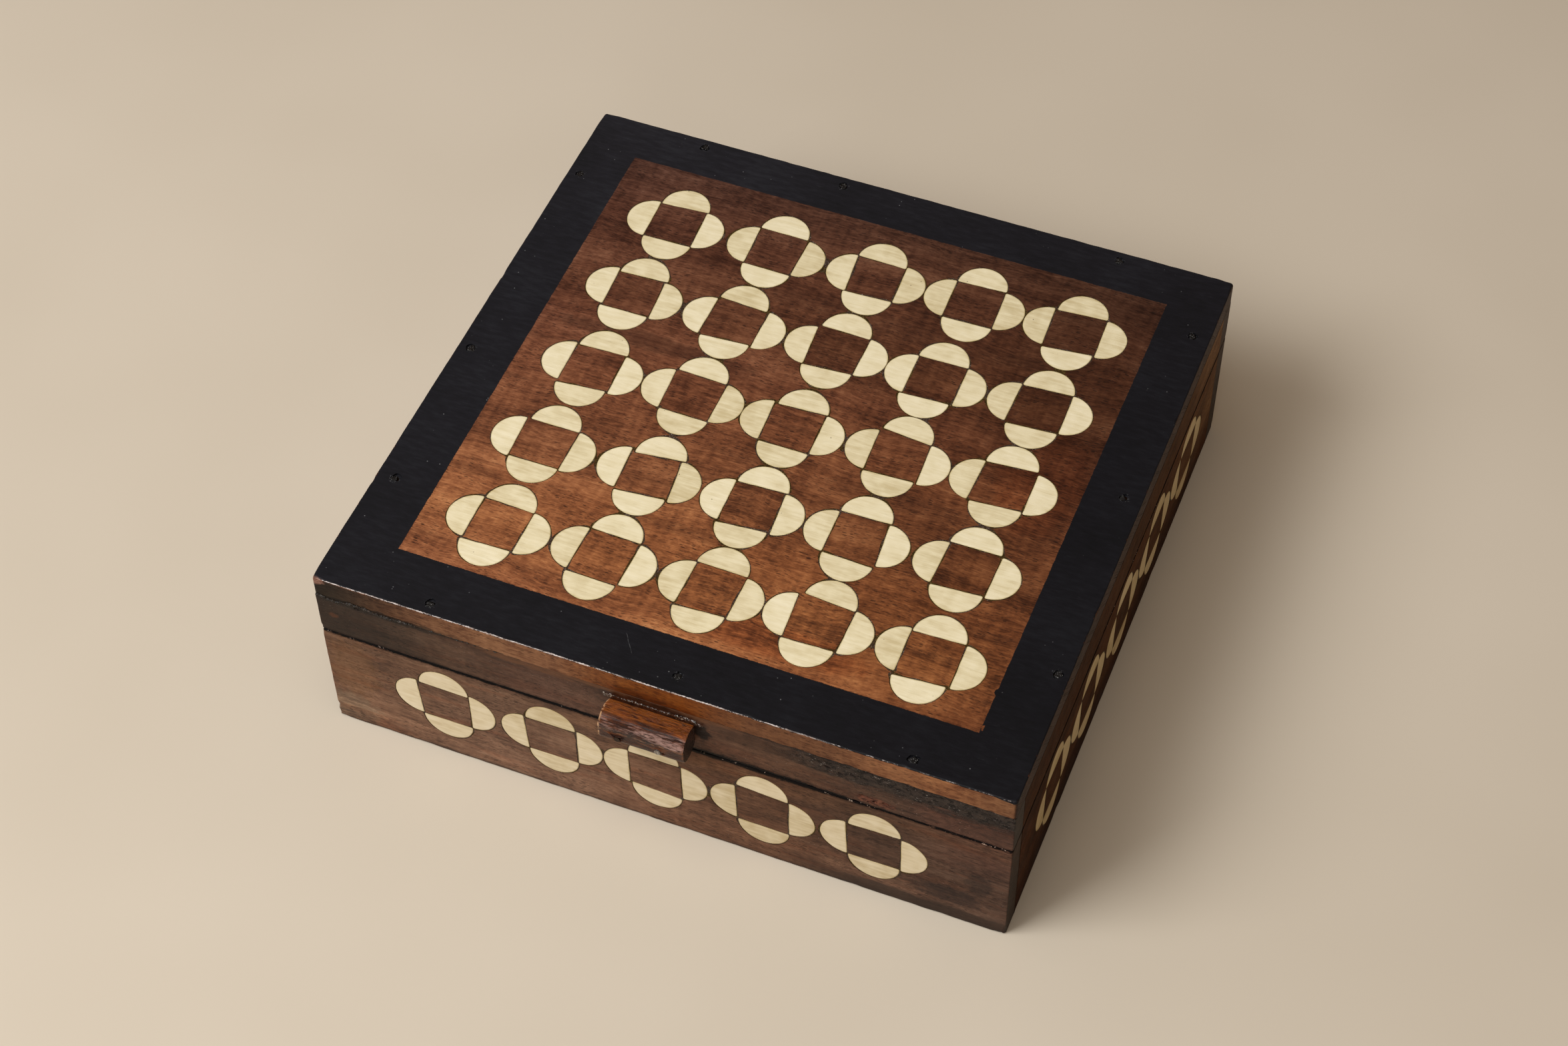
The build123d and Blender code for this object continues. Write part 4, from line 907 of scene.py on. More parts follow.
def box_wood(name, along, seed, gains=None, tint=(1.0, 1.0, 1.0)):
    """The walls and the rims: darker wood, with grime at the joints and painted shadow in the parting gap,
    stains and a dark foot; on the long boards the ends that face right carry painted shade. The inside is bare."""
    g = Graph(name)
    def s(r, gg, b):
        return tuple(c * k for c, k in zip(srgb(r, gg, b), tint))
    stops = [(0.0, s(50, 33, 26)), (0.25, s(76, 53, 42)), (0.5, s(103, 73, 57)),
             (0.75, s(124, 91, 72)), (1.0, s(146, 110, 88))]
    wood, wh, pores, t = grained(g, along, seed, stops, pore=(0.014, 0.007, 0.005), pores=0.82,
                                 streaks=0.70, mottle=1.0, ripple=0.20, big=1.0)
    if gains:
        wood = g.mix(1.0, wood, along_ramp(g, g.x if along == "X" else g.y, -127.0, 127.0, gains), "MULTIPLY")
    # reddish streaks
    red = g.step(g.noise((44.0, 44.0, 3.4), seed + 21.0, 3.0), 0.50, 0.70)
    wood = g.mix(g.mul(red, 0.42), wood, g.mix(1.0, wood, (1.12, 0.80, 0.66), "MULTIPLY"))
    ends = g.step(g.math("ABSOLUTE", g.nx if along == "X" else g.ny), 0.6, 0.8)
    wood = g.mix(g.mul(ends, 0.85), wood, g.ramp(g.noise((1.4, 1.4, 2.6), seed + 22.0, 3.0, 0.6), [(0.35, srgb(27, 17, 9)), (0.65, srgb(58, 39, 23))]))
    if along == "X":
        # painted shade: end faces that look right, away from the key light, are darkened
        right_end_shade = g.mul(g.step(g.nx, 0.6, 0.8), 0.45)
        wood = g.mix(right_end_shade, wood, (0.020, 0.011, 0.006))

    # dark grime at the parting line with a near-black painted shadow in its gap (the core), and dark grime at the joint
    # above
    wob = g.add(g.mul(g.sub(g.noise((5.0, 5.0, 1.2), seed + 31.0, 3.0, 0.6), 0.5), 1.1),
                g.mul(g.sub(g.noise((1.1, 1.1, 0.6), seed + 30.0, 3.0, 0.7), 0.5), 1.1))
    dz = g.math("ABSOLUTE", g.sub(g.z, PART))
    if along == "X":
        # widest just right of the middle
        dz = g.sub(dz, g.mul(g.mul(g.step(g.x, 2.0, 18.0), g.step(g.x, 74.0, 50.0)), 0.58))
        dz = g.add(dz, g.mul(g.step(g.x, 52.0, 84.0), 0.20))
    outer = g.mx(g.step(g.math("ABSOLUTE", g.y), D2 - 2.6, D2 - 1.6), g.step(g.math("ABSOLUTE", g.x), W2 - 2.6, W2 - 1.6))
    gap_shadow_core = g.mul(g.step(g.add(dz, g.mul(wob, 1.35)), 0.98, 0.66), outer)
    part = g.mul(g.step(g.add(dz, g.mul(wob, 1.5)), 1.9, 0.8), outer)
    color = g.mix(g.mul(part, 0.50), wood, s(36, 19, 15))
    joint = g.step(g.add(g.sub(RIM_TOP, g.z), g.mul(wob, 0.6)), 0.75, 0.20)
    joint = g.mul(g.mul(joint, g.step(g.noise((26.0, 26.0, 26.0), seed + 32.0, 1.0), 0.30, 0.50, 0.55, 1.0)), g.step(g.z, PART + 8.0, PART + 9.0))
    # foot: a narrow darker band along the bottom edge, with darker runs going up from it
    foot = g.step(g.add(g.z, g.mul(g.sub(g.noise((13.0, 13.0, 2.0), seed + 33.0, 3.0, 0.6), 0.5), 2.4)), 2.0, 0.9)
    color = g.mix(g.mul(foot, 0.70), color, s(42, 34, 31))
    color = g.mix(g.mul(joint, 0.85), color, s(18, 12, 10))
    # grey smears
    smear = g.mul(g.step(g.noise((30.0, 30.0, 7.0), seed + 34.0, 3.0, 0.6), 0.58, 0.74), 0.5)
    color = g.mix(smear, color, g.mix(0.5, color, s(52, 45, 42)))
    tick = g.mul(g.step(g.noise((0.75, 0.75, 0.42), seed + 45.0, 2.0, 0.6), 0.635, 0.69), outer)
    color = g.mix(g.mul(tick, 0.55), color, s(26, 17, 14))
    dust = g.mul(g.mul(g.step(g.noise((0.55, 0.55, 0.42), seed + 46.0, 1.0), 0.735, 0.78), outer), g.step(g.noise(16.0, seed + 47.0, 2.0), 0.46, 0.62))
    color = g.mix(g.mul(dust, 0.6), color, srgb(168, 152, 144))
    # broken bright fibres on the arris of the wall's top edge
    nick = g.mul(g.step(g.z, WALL_TOP - 0.55, WALL_TOP - 0.35), g.step(g.z, WALL_TOP + 0.02, WALL_TOP - 0.02))
    nn = g.noise((0.8, 0.8, 0.5), seed + 39.0, 2.0, 0.6)
    many = g.step(g.noise((18.0, 18.0, 18.0), seed + 40.0, 1.0), 0.40, 0.60, 0.75, 0.655)
    nick = g.mul(g.mul(nick, outer), g.math("GREATER_THAN", nn, many))
    # inside the box the wood is bare and paler
    inner = g.mn(g.step(g.math("ABSOLUTE", g.x), 117.75, 117.55), g.step(g.math("ABSOLUTE", g.y), 114.5, 114.3))
    color = g.mix(g.mul(inner, 0.6), color, g.ramp(t, [(0.2, srgb(96, 64, 44)), (0.5, srgb(134, 96, 68)), (0.8, srgb(160, 120, 88))]))
    # painted shadow: the near-black core of the parting line
    color = g.mix(gap_shadow_core, color, srgb(5, 1, 1))
    color = g.mix(g.mul(nick, 0.75), color, srgb(176, 158, 148))
    rough = g.add(0.46, g.add(g.mul(g.noise(5.0, seed + 35.0, 3.0), 0.18), g.mul(part, 0.1)))
    rough = g.add(rough, g.mul(inner, 0.2))
    height = g.add(wh, g.add(g.mul(g.noise(15.0, seed + 36.0, 1.0), 0.12), g.mul(g.noise((9.0, 9.0, 0.9), seed + 37.0, 2.0), 0.02)))
    return g, color, rough, height, s


def wall_wood(name, along, seed, gains=None, tint=(1.0, 1.0, 1.0), gloss=0.10):
    g, color, rough, height, s = box_wood(name, along, seed, gains, tint)
    if along == "Y":
        # painted shade: the sides are darker and browner in their lower half, towards the floor
        low = g.step(g.add(g.z, g.mul(g.sub(g.noise((40.0, 40.0, 9.0), seed + 50.0, 2.0), 0.5), 14.0)), 20.0, 8.0)
        color = g.mix(g.mul(low, 0.92), color, g.mix(1.0, color, (0.32, 0.15, 0.02), "MULTIPLY"))
    else:
        # dark smudge low at the right end
        # the right end is redder above and stained dark along the bottom
        end = g.step(g.x, 84.0, 118.0)
        upper = g.step(g.add(g.z, g.mul(g.sub(g.noise((26.0, 26.0, 6.0), seed + 52.0, 2.0), 0.5), 16.0)), 24.0, 40.0)
        color = g.mix(g.mul(end, upper), color, g.mix(1.0, color, (1.55, 1.42, 1.42), "MULTIPLY"))
        band = g.step(g.add(g.z, g.mul(g.sub(g.noise((16.0, 16.0, 3.0), seed + 53.0, 3.0, 0.6), 0.5), 8.0)), 8.6, 5.2)
        color = g.mix(g.mul(g.mul(band, g.step(g.x, 40.0, 74.0)), 0.80), color, srgb(48, 38, 33))
        sm = g.mul(g.mx(g.around(116.5, -D2, 25.5, 5.5, 4.0, 8.0, 1.7, 4.0), g.around(106.0, -D2, 14.0, 15.0, 4.0, 6.0, 1.9, 5.0)), 0.50)
        color = g.mix(sm, color, srgb(36, 31, 31))
        warm = g.mul(g.around(-117.0, -D2, 33.0, 11.0, 4.0, 19.0, 1.8, 6.0), 0.25)
        color = g.mix(warm, color, srgb(126, 90, 56))
        foot_left = g.mul(g.around(-124.0, -D2, 8.0, 17.0, 4.0, 11.0, 1.2, 12.0), 0.8)
        color = g.mix(foot_left, color, g.mix(1.0, color, (1.28, 1.60, 1.70), "MULTIPLY"))
        foot_right = g.mul(g.around(78.0, -D2, 9.5, 22.0, 4.0, 7.0, 1.6, 13.0), 0.7)
        color = g.mix(foot_right, color, g.mix(1.0, color, (1.40, 1.42, 1.40), "MULTIPLY"))
        color = g.mix(1.0, color, along_ramp(g, g.z, 0.0, H, [
            (2.0, (1.10, 1.10, 1.10)), (8.0, (1.26, 1.26, 1.26)), (16.0, (1.12, 1.12, 1.12)), (28.0, (0.97, 0.97, 0.97)), (40.0, (0.88, 0.88, 0.88)), (48.0, (0.78, 0.76, 0.74)), (52.0, (0.84, 0.84, 0.84))]), "MULTIPLY")
        upper_right = g.mul(g.step(g.add(g.z, g.mul(g.sub(g.noise((30.0, 30.0, 6.0), seed + 55.0, 2.0), 0.5), 8.0)), 41.0, 45.0), g.step(g.x, -42.0, -24.0))
        color = g.mix(upper_right, color, g.mix(1.0, color, (1.22, 1.20, 1.12), "MULTIPLY"))
    return g.finish(color, rough, height, Specular_IOR_Level=gloss)


def rim_front_wood():
    """The front rim has varnish stains round the pull, painted shadow of the pull to its right
    and a dark crackled smear at the right."""
    g, color, rough, height, s = box_wood("rim_front_wood", "X", 4.0, RIM_LONG)
    fr = g.step(g.y, -D2 + 0.6, -D2 + 0.4)
    # the plate's colour runs down over the top of the rim in the middle
    run_over = g.mul(g.step(g.add(g.sub(RIM_TOP, g.z), g.mul(g.sub(g.noise((16.0, 16.0, 3.0), 70.0, 3.0, 0.6), 0.5), 9.0)), 2.6, 0.4),
                     g.mul(g.step(g.x, -72.0, -56.0), g.step(g.x, 34.0, 24.0)))
    color = g.mix(g.mul(g.mul(run_over, fr), 0.6), color, srgb(112, 74, 48))
    # dark crackled filler along the top at the right
    top = g.step(g.add(g.sub(RIM_TOP, g.z), g.mul(g.sub(g.noise((13.0, 13.0, 2.6), 71.0, 4.0, 0.62), 0.5), 11.0)), 9.4, 6.4)
    zone = g.mul(g.mul(g.step(g.x, 34.0, 64.0), top), fr)
    crk = g.noise((2.1, 2.1, 1.15), 72.0, 4.0, 0.66)
    crack = g.mul(g.step(crk, 0.54, 0.59), zone)
    color = g.mix(g.mul(zone, 0.80), color, g.ramp(g.noise((5.0, 5.0, 1.8), 73.0, 4.0, 0.6), [(0.34, srgb(21, 18, 17)), (0.52, srgb(40, 36, 35)), (0.66, srgb(60, 51, 45))]))
    color = g.mix(g.mul(crack, 0.7), color, srgb(16, 12, 11))
    below = g.mul(g.mul(g.step(g.x, 84.0, 104.0), g.inv(top)), fr)
    color = g.mix(g.mul(below, 0.7), color, g.mix(1.0, color, (1.50, 1.20, 1.20), "MULTIPLY"))
    glint = g.mul(g.mul(g.step(g.noise((0.95, 0.95, 0.50), 74.0, 2.0, 0.6), 0.655, 0.70), zone), 0.8)
    glint = g.mul(glint, g.step(g.noise((7.0, 7.0, 3.0), 68.0, 2.0), 0.40, 0.54))
    color = g.mix(glint, color, srgb(150, 142, 138))
    # torn reddish wood just above the parting line
    torn_red = g.mul(g.mul(g.around(79.0, -D2, PART + 3.6, 9.0, 4.0, 2.6, 1.6, 9.0), fr), 0.75)
    color = g.mix(torn_red, color, g.ramp(g.noise((1.6, 1.6, 0.8), 76.0, 2.0), [(0.40, srgb(60, 28, 20)), (0.6, srgb(122, 74, 56))]))
    # dark line of old glue at the left end of the joint
    wob = g.mul(g.sub(g.noise((4.0, 4.0, 4.0), 75.0, 3.0, 0.65), 0.5), 3.0)
    lefty = g.mul(g.step(g.x, -66.0, -90.0), fr)
    old = g.mul(g.step(g.add(g.sub(RIM_TOP, g.z), wob), 2.6, 0.9), lefty)
    color = g.mix(g.mul(old, 0.85), color, srgb(21, 16, 13))
    lefty2 = g.mul(g.step(g.add(g.x, g.mul(g.sub(g.noise((20.0, 20.0, 5.0), 79.0, 3.0), 0.5), 40.0)), -88.0, -118.0), fr)
    color = g.mix(g.mul(lefty2, 0.55), color, srgb(34, 25, 21))
    amber = g.mul(g.mul(g.around(-121.0, -D2, 62.0, 2.2, 3.0, 1.5, 1.6, 10.0), fr), 0.38)
    color = g.mix(amber, color, srgb(104, 60, 34))
    # varnish run round the pull, and right of it painted shadow of the pull
    run = g.mul(g.around(-1.0, -D2, 66.0, 23.0, 5.0, 6.6, 1.3, 8.0), fr)
    color = g.mix(g.mul(run, 0.88), color, g.ramp(g.noise((6.0, 6.0, 1.5), 77.0, 3.0), [(0.35, srgb(22, 11, 8)), (0.65, srgb(62, 32, 17))]))
    # a dark varnish run and painted shadow of the pull, just right of its end
    run_and_pull_shadow = g.mul(g.around(16.8, -D2, 63.2, 4.0, 5.0, 4.6, 2.0, 11.0), fr)
    color = g.mix(g.mul(run_and_pull_shadow, 0.95), color, srgb(16, 2, 0))
    # painted shadow of the pull, further right along the top of the rim
    shade = g.mul(g.mul(g.around(36.0, -D2, 66.5, 17.0, 5.0, 3.6, 1.0, 13.0), fr), 0.42)
    color = g.mix(shade, color, srgb(44, 27, 18))
    rough = g.sub(rough, g.mul(run, 0.28))
    rough = g.add(rough, g.mul(crack, 0.15))
    height = g.add(height, g.mul(crack, -0.34))
    height = g.add(height, g.mul(g.mul(g.noise((2.4, 2.4, 1.3), 69.0, 4.0, 0.64), zone), 0.60))
    height = g.add(height, g.mul(g.mul(old, g.noise(0.8, 78.0, 3.0, 0.6)), 0.25))
    return g.finish(color, rough, height, Specular_IOR_Level=0.16)


def petal_wood(name, along, cream, straw):
    g = Graph(name)
    tone, rim = g.attr("tone"), g.attr("rim")
    off = g.vec(g.mul(tone, 40.0), g.mul(tone, 90.0), g.mul(tone, 60.0))
    v = g.vadd(g.p, off)
    la, lb = (11.0, 1.4)
    size = {"X": (la, lb, lb), "Y": (lb, la, lb)}[along]
    fsize = {"X": (6.0, 0.34, 0.34), "Y": (0.34, 6.0, 0.34)}[along]
    band = g.noise(size, 3.0, 3.0, 0.6, v)
    fine = g.noise(fsize, 4.0, 2.0, 0.6, v)
    cloud = g.noise(6.0, 5.0, 2.0, 0.5, v)
    t = g.add(g.add(g.mul(g.sub(band, 0.5), 1.3), g.mul(g.sub(fine, 0.5), 0.35)), g.mul(g.sub(cloud, 0.5), 1.0))
    t = g.add(t, g.add(g.mul(g.sub(tone, 0.5), 0.5), 0.5))
    color = g.ramp(t, [(0.0, straw), (0.5, cream), (1.0, tuple(min(0.9, c * k) for c, k in zip(cream, (1.12, 1.15, 1.25))))])
    # greyish fibres
    grey = g.mul(g.step(g.noise(tuple(s * (1.0 if s > 3 else 2.2) for s in fsize), 12.0, 2.0, 0.6, v), 0.56, 0.72), 0.16)
    color = g.mix(grey, color, tuple(c * k for c, k in zip(straw, (0.80, 0.84, 0.90))))
    # varnish soaked into the edge, a few specks of black
    halo = g.mul(g.step(g.add(rim, g.mul(g.sub(g.noise(1.6, 6.0, 2.0), 0.5), 0.9)), 0.30, 1.05), 0.62)
    color = g.mix(halo, color, tuple(c * k for c, k in zip(straw, (0.82, 0.76, 0.50))))
    dist, col = g.cells(3.2, 7.0)
    c3 = g.split(col)
    spot = g.mul(g.step(dist, 0.10, 0.04), g.step(c3[1], 0.90, 0.93))
    color = g.mix(g.mul(spot, 0.85), color, srgb(54, 44, 36))
    scr = g.mul(g.step(g.noise(fsize, 8.0, 1.0), 0.68, 0.75), 0.14)
    color = g.mix(scr, color, tuple(c * 0.55 for c in straw))
    rough = g.add(0.44, g.mul(g.noise(5.0, 9.0, 2.0), 0.14))
    height = g.add(g.mul(fine, 0.014), g.mul(g.noise(6.0, 10.0, 1.0), 0.05))
    return g.finish(color, rough, height, Specular_IOR_Level=0.25)


def filler_mat():
    g = Graph("glue_filler")
    n = g.noise(0.50, 1.0, 3.0, 0.7)
    color = g.ramp(n, [(0.30, srgb(36, 26, 11)), (0.50, srgb(62, 46, 18)), (0.62, srgb(90, 72, 36)), (0.72, srgb(140, 122, 86))])
    # in places grey crackled glue; its palest specks are painted glints
    grey = g.step(g.noise(6.0, 3.0, 2.0), 0.42, 0.54)
    color = g.mix(g.mul(grey, 0.60), color, g.ramp(g.noise((0.42, 0.42, 0.42), 4.0, 3.0, 0.65), [(0.38, srgb(32, 23, 21)), (0.54, srgb(70, 56, 54)), (0.63, srgb(104, 90, 88)), (0.70, srgb(196, 188, 180))]))
    return g.finish(color, g.add(0.40, g.mul(g.noise(0.8, 2.0, 2.0), 0.3)), g.mul(n, 0.22), Specular_IOR_Level=0.12)


def plug_mat():
    g = Graph("pin_plug")
    n = g.noise(0.7, 1.0, 3.0, 0.65)
    color = g.ramp(n, [(0.35, srgb(7, 7, 8)), (0.6, srgb(22, 22, 24))])
    glint = g.step(g.noise(0.42, 5.0, 2.0, 0.6), 0.62, 0.68)
    color = g.mix(g.mul(glint, 0.85), color, srgb(156, 158, 160))
    return g.finish(color, 0.40, g.mul(n, 0.25), Specular_IOR_Level=0.3)


def crust_mat():
    g = Graph("joint_crust")
    color = g.ramp(g.noise(0.5, 1.0, 3.0, 0.6), [(0.35, srgb(12, 9, 8)), (0.58, srgb(30, 22, 17)), (0.70, srgb(76, 62, 52))])
    return g.finish(color, 0.42, g.mul(g.noise(0.45, 2.0, 3.0, 0.6), 0.2), Specular_IOR_Level=0.35)


def pull_wood():
    g = Graph("pull_wood")
    # amber high up by the rim, darker and browner round the front
    up = g.line(g.z, 55.0, 67.5, 0.0, 1.0)
    stops = [(0.0, srgb(18, 7, 4)), (0.3, srgb(36, 14, 7)), (0.55, srgb(62, 27, 12)), (0.8, srgb(112, 56, 20)), (1.0, srgb(154, 84, 32))]
    shift = g.add(g.mul(g.sub(up, 0.55), 0.45), g.step(g.y, -D2 - 6.0, -D2 - 1.0, -0.02, 0.16))
    wood, wh, pores, t = grained(g, "X", 9.0, stops, pore=(0.012, 0.005, 0.003), pores=0.75, ripple=0.1, shift=shift)
    dark = g.step(g.noise((9.0, 0.50, 0.50), 14.0, 3.0, 0.66), 0.49, 0.58)
    wood = g.mix(g.mul(dark, 0.70), wood, srgb(20, 9, 6))
    # painted highlight: a bright amber band along the upper front of the pull
    amber_highlight = g.mul(g.mul(g.step(g.z, 64.6, 66.4), g.mul(g.step(g.y, -D2 - 7.4, -D2 - 5.6), g.step(g.noise((7.0, 1.2, 1.2), 15.0, 3.0, 0.6), 0.44, 0.62))), 0.6)
    wood = g.mix(amber_highlight, wood, srgb(158, 88, 30))
    ends = g.step(g.math("ABSOLUTE", g.nx), 0.55, 0.85)
    wood = g.mix(g.mul(ends, 0.8), wood, g.ramp(g.noise((3.0, 1.0, 1.0), 3.0, 3.0), [(0.35, srgb(16, 1, 0)), (0.65, srgb(40, 6, 1))]))
    # flat at the lower front, rubbed browner
    flat = g.mul(g.step(g.z, 63.0, 61.8), g.step(g.y, -D2 - 9.0, -D2 - 9.9))
    wood = g.mix(g.mul(flat, 0.55), wood, g.ramp(g.noise((8.0, 0.8, 1.1), 5.0, 3.0), [(0.35, srgb(34, 9, 2)), (0.52, srgb(72, 28, 9)), (0.64, srgb(132, 74, 36))]))
    # painted highlight on the high ridges of the front, pale and hazy, with brighter painted streaks of it from the
    # middle to the right end
    ridge_highlight = g.mul(g.mul(g.step(g.z, 62.8, 64.0), g.step(g.z, 67.2, 66.2)), g.mul(g.step(g.noise((4.5, 0.60, 0.60), 16.0, 4.0, 0.68), 0.46, 0.60), g.step(g.y, -D2 - 6.4, -D2 - 7.8)))
    ridge_highlight = g.mul(ridge_highlight, g.step(g.noise((7.0, 7.0, 7.0), 18.0, 2.0), 0.32, 0.50))
    streak = g.mul(g.mx(g.around(10.0, -D2 - 10.4, 64.3, 6.5, 4.0, 1.9, 0.5, 20.0), g.around(2.0, -D2 - 10.4, 65.2, 7.0, 4.0, 1.3, 0.6, 21.0)),
                   g.step(g.noise((3.2, 0.55, 0.55), 19.0, 4.0, 0.68), 0.38, 0.54))
    streak = g.mul(streak, g.inv(ends))
    wood = g.mix(g.mul(g.mx(g.mul(ridge_highlight, g.step(g.x, -8.0, 8.0, 0.48, 0.68)), g.mul(streak, 0.80)), g.inv(ends)), wood, srgb(178, 142, 132))
    arris = g.mul(g.step(g.math("ABSOLUTE", g.sub(g.z, 62.6)), 0.55, 0.12), g.step(g.y, -D2 - 9.6, -D2 - 10.1))
    wood = g.mix(g.mul(g.mul(arris, g.step(g.noise((2.4, 1.0, 1.0), 6.0, 3.0), 0.46, 0.60)), 0.55), wood, srgb(168, 120, 86))
    leftrim = g.mul(g.mul(g.step(g.x, -15.9, -16.8), g.step(g.math("ABSOLUTE", g.nx), 0.93, 0.75)), g.step(g.noise(1.2, 7.0, 2.0), 0.38, 0.54))
    wood = g.mix(g.mul(leftrim, 0.9), wood, srgb(222, 176, 132))
    rightrim = g.mul(g.mul(g.step(g.x, 13.4, 14.2), g.step(g.nx, 0.8, 0.5)), g.step(g.noise(1.0, 8.0, 2.0), 0.46, 0.60))
    wood = g.mix(g.mul(rightrim, 0.5), wood, srgb(150, 92, 50))
    # crinkled varnish
    crinkle = g.noise((2.6, 0.50, 0.50), 11.0, 4.0, 0.68)
    height = g.add(g.mul(crinkle, 0.80), g.add(wh, g.mul(g.noise((9.0, 2.0, 2.0), 12.0, 2.0), 0.40)))
    rough = g.add(0.11, g.add(g.mul(g.noise(2.0, 13.0, 3.0), 0.14), g.mul(flat, 0.20)))
    return g.finish(wood, rough, height, Specular_IOR_Level=0.26, Coat_Weight=0.06, Coat_Roughness=0.10)


def glue_bead_mat():
    g = Graph("glue_bead")
    color = g.ramp(g.noise(0.9, 1.0, 3.0, 0.6), [(0.35, srgb(24, 12, 8)), (0.6, srgb(62, 34, 20))])
    # the pale specks, bunched in clumps, are painted glints on the glossy glue
    clump = g.mx(g.mx(g.around(-16.5, -D2, 68.0, 3.0, 3.0, 2.0), g.around(-7.5, -D2, 68.0, 3.4, 3.0, 2.0)),
                 g.mx(g.around(4.4, -D2, 68.0, 1.7, 3.0, 2.0), g.around(10.5, -D2, 68.0, 4.6, 3.0, 2.4)))
    white = g.step(g.add(g.noise((0.9, 0.9, 0.5), 4.0, 3.0, 0.62), g.mul(clump, 0.10)), 0.67, 0.74)
    color = g.mix(g.mul(white, 0.65), color, srgb(196, 184, 168))
    return g.finish(color, 0.18, g.mul(g.noise(0.6, 2.0, 3.0, 0.6), 0.25), Specular_IOR_Level=0.6, Coat_Weight=0.3, Coat_Roughness=0.10)


def panel_wood():
    g = Graph("panel_wood")
    stops = [(0.0, srgb(98, 66, 42)), (0.35, srgb(138, 98, 64)), (0.7, srgb(166, 124, 86)), (1.0, srgb(186, 146, 106))]
    wood, wh, pores, t = grained(g, "X", 12.0, stops, pore=(0.09, 0.05, 0.03), pores=0.5, ripple=0.1)
    # a darker, rubbed ring on the underside where it has stood
    low = g.step(g.z, 0.6, 0.2)
    scuff = g.mul(g.step(g.noise((30.0, 12.0, 5.0), 3.0, 4.0, 0.6), 0.50, 0.68), 0.4)
    wood = g.mix(g.mul(g.mul(low, 0.7), scuff), wood, srgb(80, 62, 50))
    edge = g.mx(g.step(g.math("ABSOLUTE", g.x), 113.0, 117.5), g.step(g.math("ABSOLUTE", g.y), 110.0, 114.3))
    wood = g.mix(g.mul(g.mul(edge, g.inv(low)), 0.45), wood, srgb(60, 42, 30))
    return g.finish(wood, g.add(0.55, g.mul(g.noise(4.0, 5.0, 2.0), 0.2)), wh, Specular_IOR_Level=0.3)


def brass_mat(name, seed):
    g = Graph(name)
    n = g.noise(2.2, seed, 4.0, 0.65)
    color = g.ramp(n, [(0.30, srgb(82, 58, 30)), (0.50, srgb(150, 116, 62)), (0.70, srgb(186, 152, 92))])
    tarnish = g.step(g.noise(7.0, seed + 2.0, 3.0), 0.50, 0.70)
    color = g.mix(g.mul(tarnish, 0.5), color, srgb(74, 56, 38))
    rough = g.add(0.28, g.add(g.mul(n, 0.2), g.mul(tarnish, 0.25)))
    return g.finish(color, rough, g.mul(g.noise((6.0, 0.5, 0.5), seed + 3.0, 2.0), 0.015), Metallic=0.95)


def steel_mat():
    g = Graph("steel_pins")
    n = g.noise(0.9, 2.0, 3.0, 0.6)
    bright = g.ramp(n, [(0.35, srgb(92, 88, 84)), (0.65, srgb(176, 172, 168))])
    rusty = g.ramp(n, [(0.35, srgb(22, 16, 13)), (0.65, srgb(62, 44, 34))])
    # the right nail of the pull is bright, all others have gone dark
    b = g.mul(g.step(g.x, 2.0, 3.0), g.mul(g.step(g.x, 8.0, 7.0), g.step(g.y, -D2 - 9.0, -D2 - 9.8)))
    color = g.mix(b, rusty, bright)
    return g.finish(color, g.add(0.30, g.mul(n, 0.25)), g.mul(n, 0.05), Metallic=0.9)

# ---------------------------------------------------------------------------
# light: a big soft source at the front left, weak fill elsewhere
# ---------------------------------------------------------------------------
WORLD = 0.15
LIGHTS = [
    ("key", (-0.95, -1.02, 1.55), (1.0, 1.0), 31.5, (1.0, 0.985, 0.965)),
    ("overhead", (-0.1, -0.9, 2.0), (2.0, 2.0), 19.5, (1.0, 0.975, 0.93)),
]


# ---------------------------------------------------------------------------
# building
# ---------------------------------------------------------------------------
rng = np.random.default_rng(7)
pieces = []


def give(ob, mat, body, node=None, angle=35.0):
    """Finish a piece: material, shading, the body it rides on and what it stands for."""
    ob.data.materials.clear()
    ob.data.materials.append(mat)
    if angle:
        smooth(ob, angle)
    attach(ob, body)
    for n in ([node] if isinstance(node, str) else node or []):
        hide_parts(n)
    pieces.append(ob)
    return ob


def ragged_hole(face, u, v, r, depth, seed, up=1.0, n=26, jag=0.22):
    """An upright plug shape with an uneven outline, to punch holes or fill them."""
    q = np.arange(n) / n * 2 * math.pi
    c = np.stack([np.cos(q), np.sin(q), np.full(n, float(seed))], 1)
    rr = r * (1 + jag * vnoise(c, 0.9, seed) + jag * 0.6 * vnoise(c, 0.35, seed + 1))
    ring = np.stack([u + rr * c[:, 0], v + rr * c[:, 1], np.zeros(n)], 1)
    top, low = ring.copy(), ring.copy()
    top[:, 2], low[:, 2] = up, -depth
    return [face.at(top), face.at(low)]


def inlay(face, motifs, seed, nodes_for, body, mat, board):
    """Petals and filler for one face, and their pockets cut into the board."""
    per_petal, cutters, filler = inlay_parts(face, motifs, seed, rng)
    cut(board, cutters)
    k = len(per_petal) // len(nodes_for)
    for i, node in enumerate(nodes_for):
        group = per_petal[i * k:(i + 1) * k]
        verts, faces = join_meshes([(v, f) for v, f, tone, rim in group])
        ob = new_object(node.replace("inlay", "petals"), verts, faces,
                        {"tone": np.concatenate([g[2] for g in group]),
                         "rim": np.concatenate([g[3] for g in group])})
        give(ob, mat, body, node, 30)
    return filler


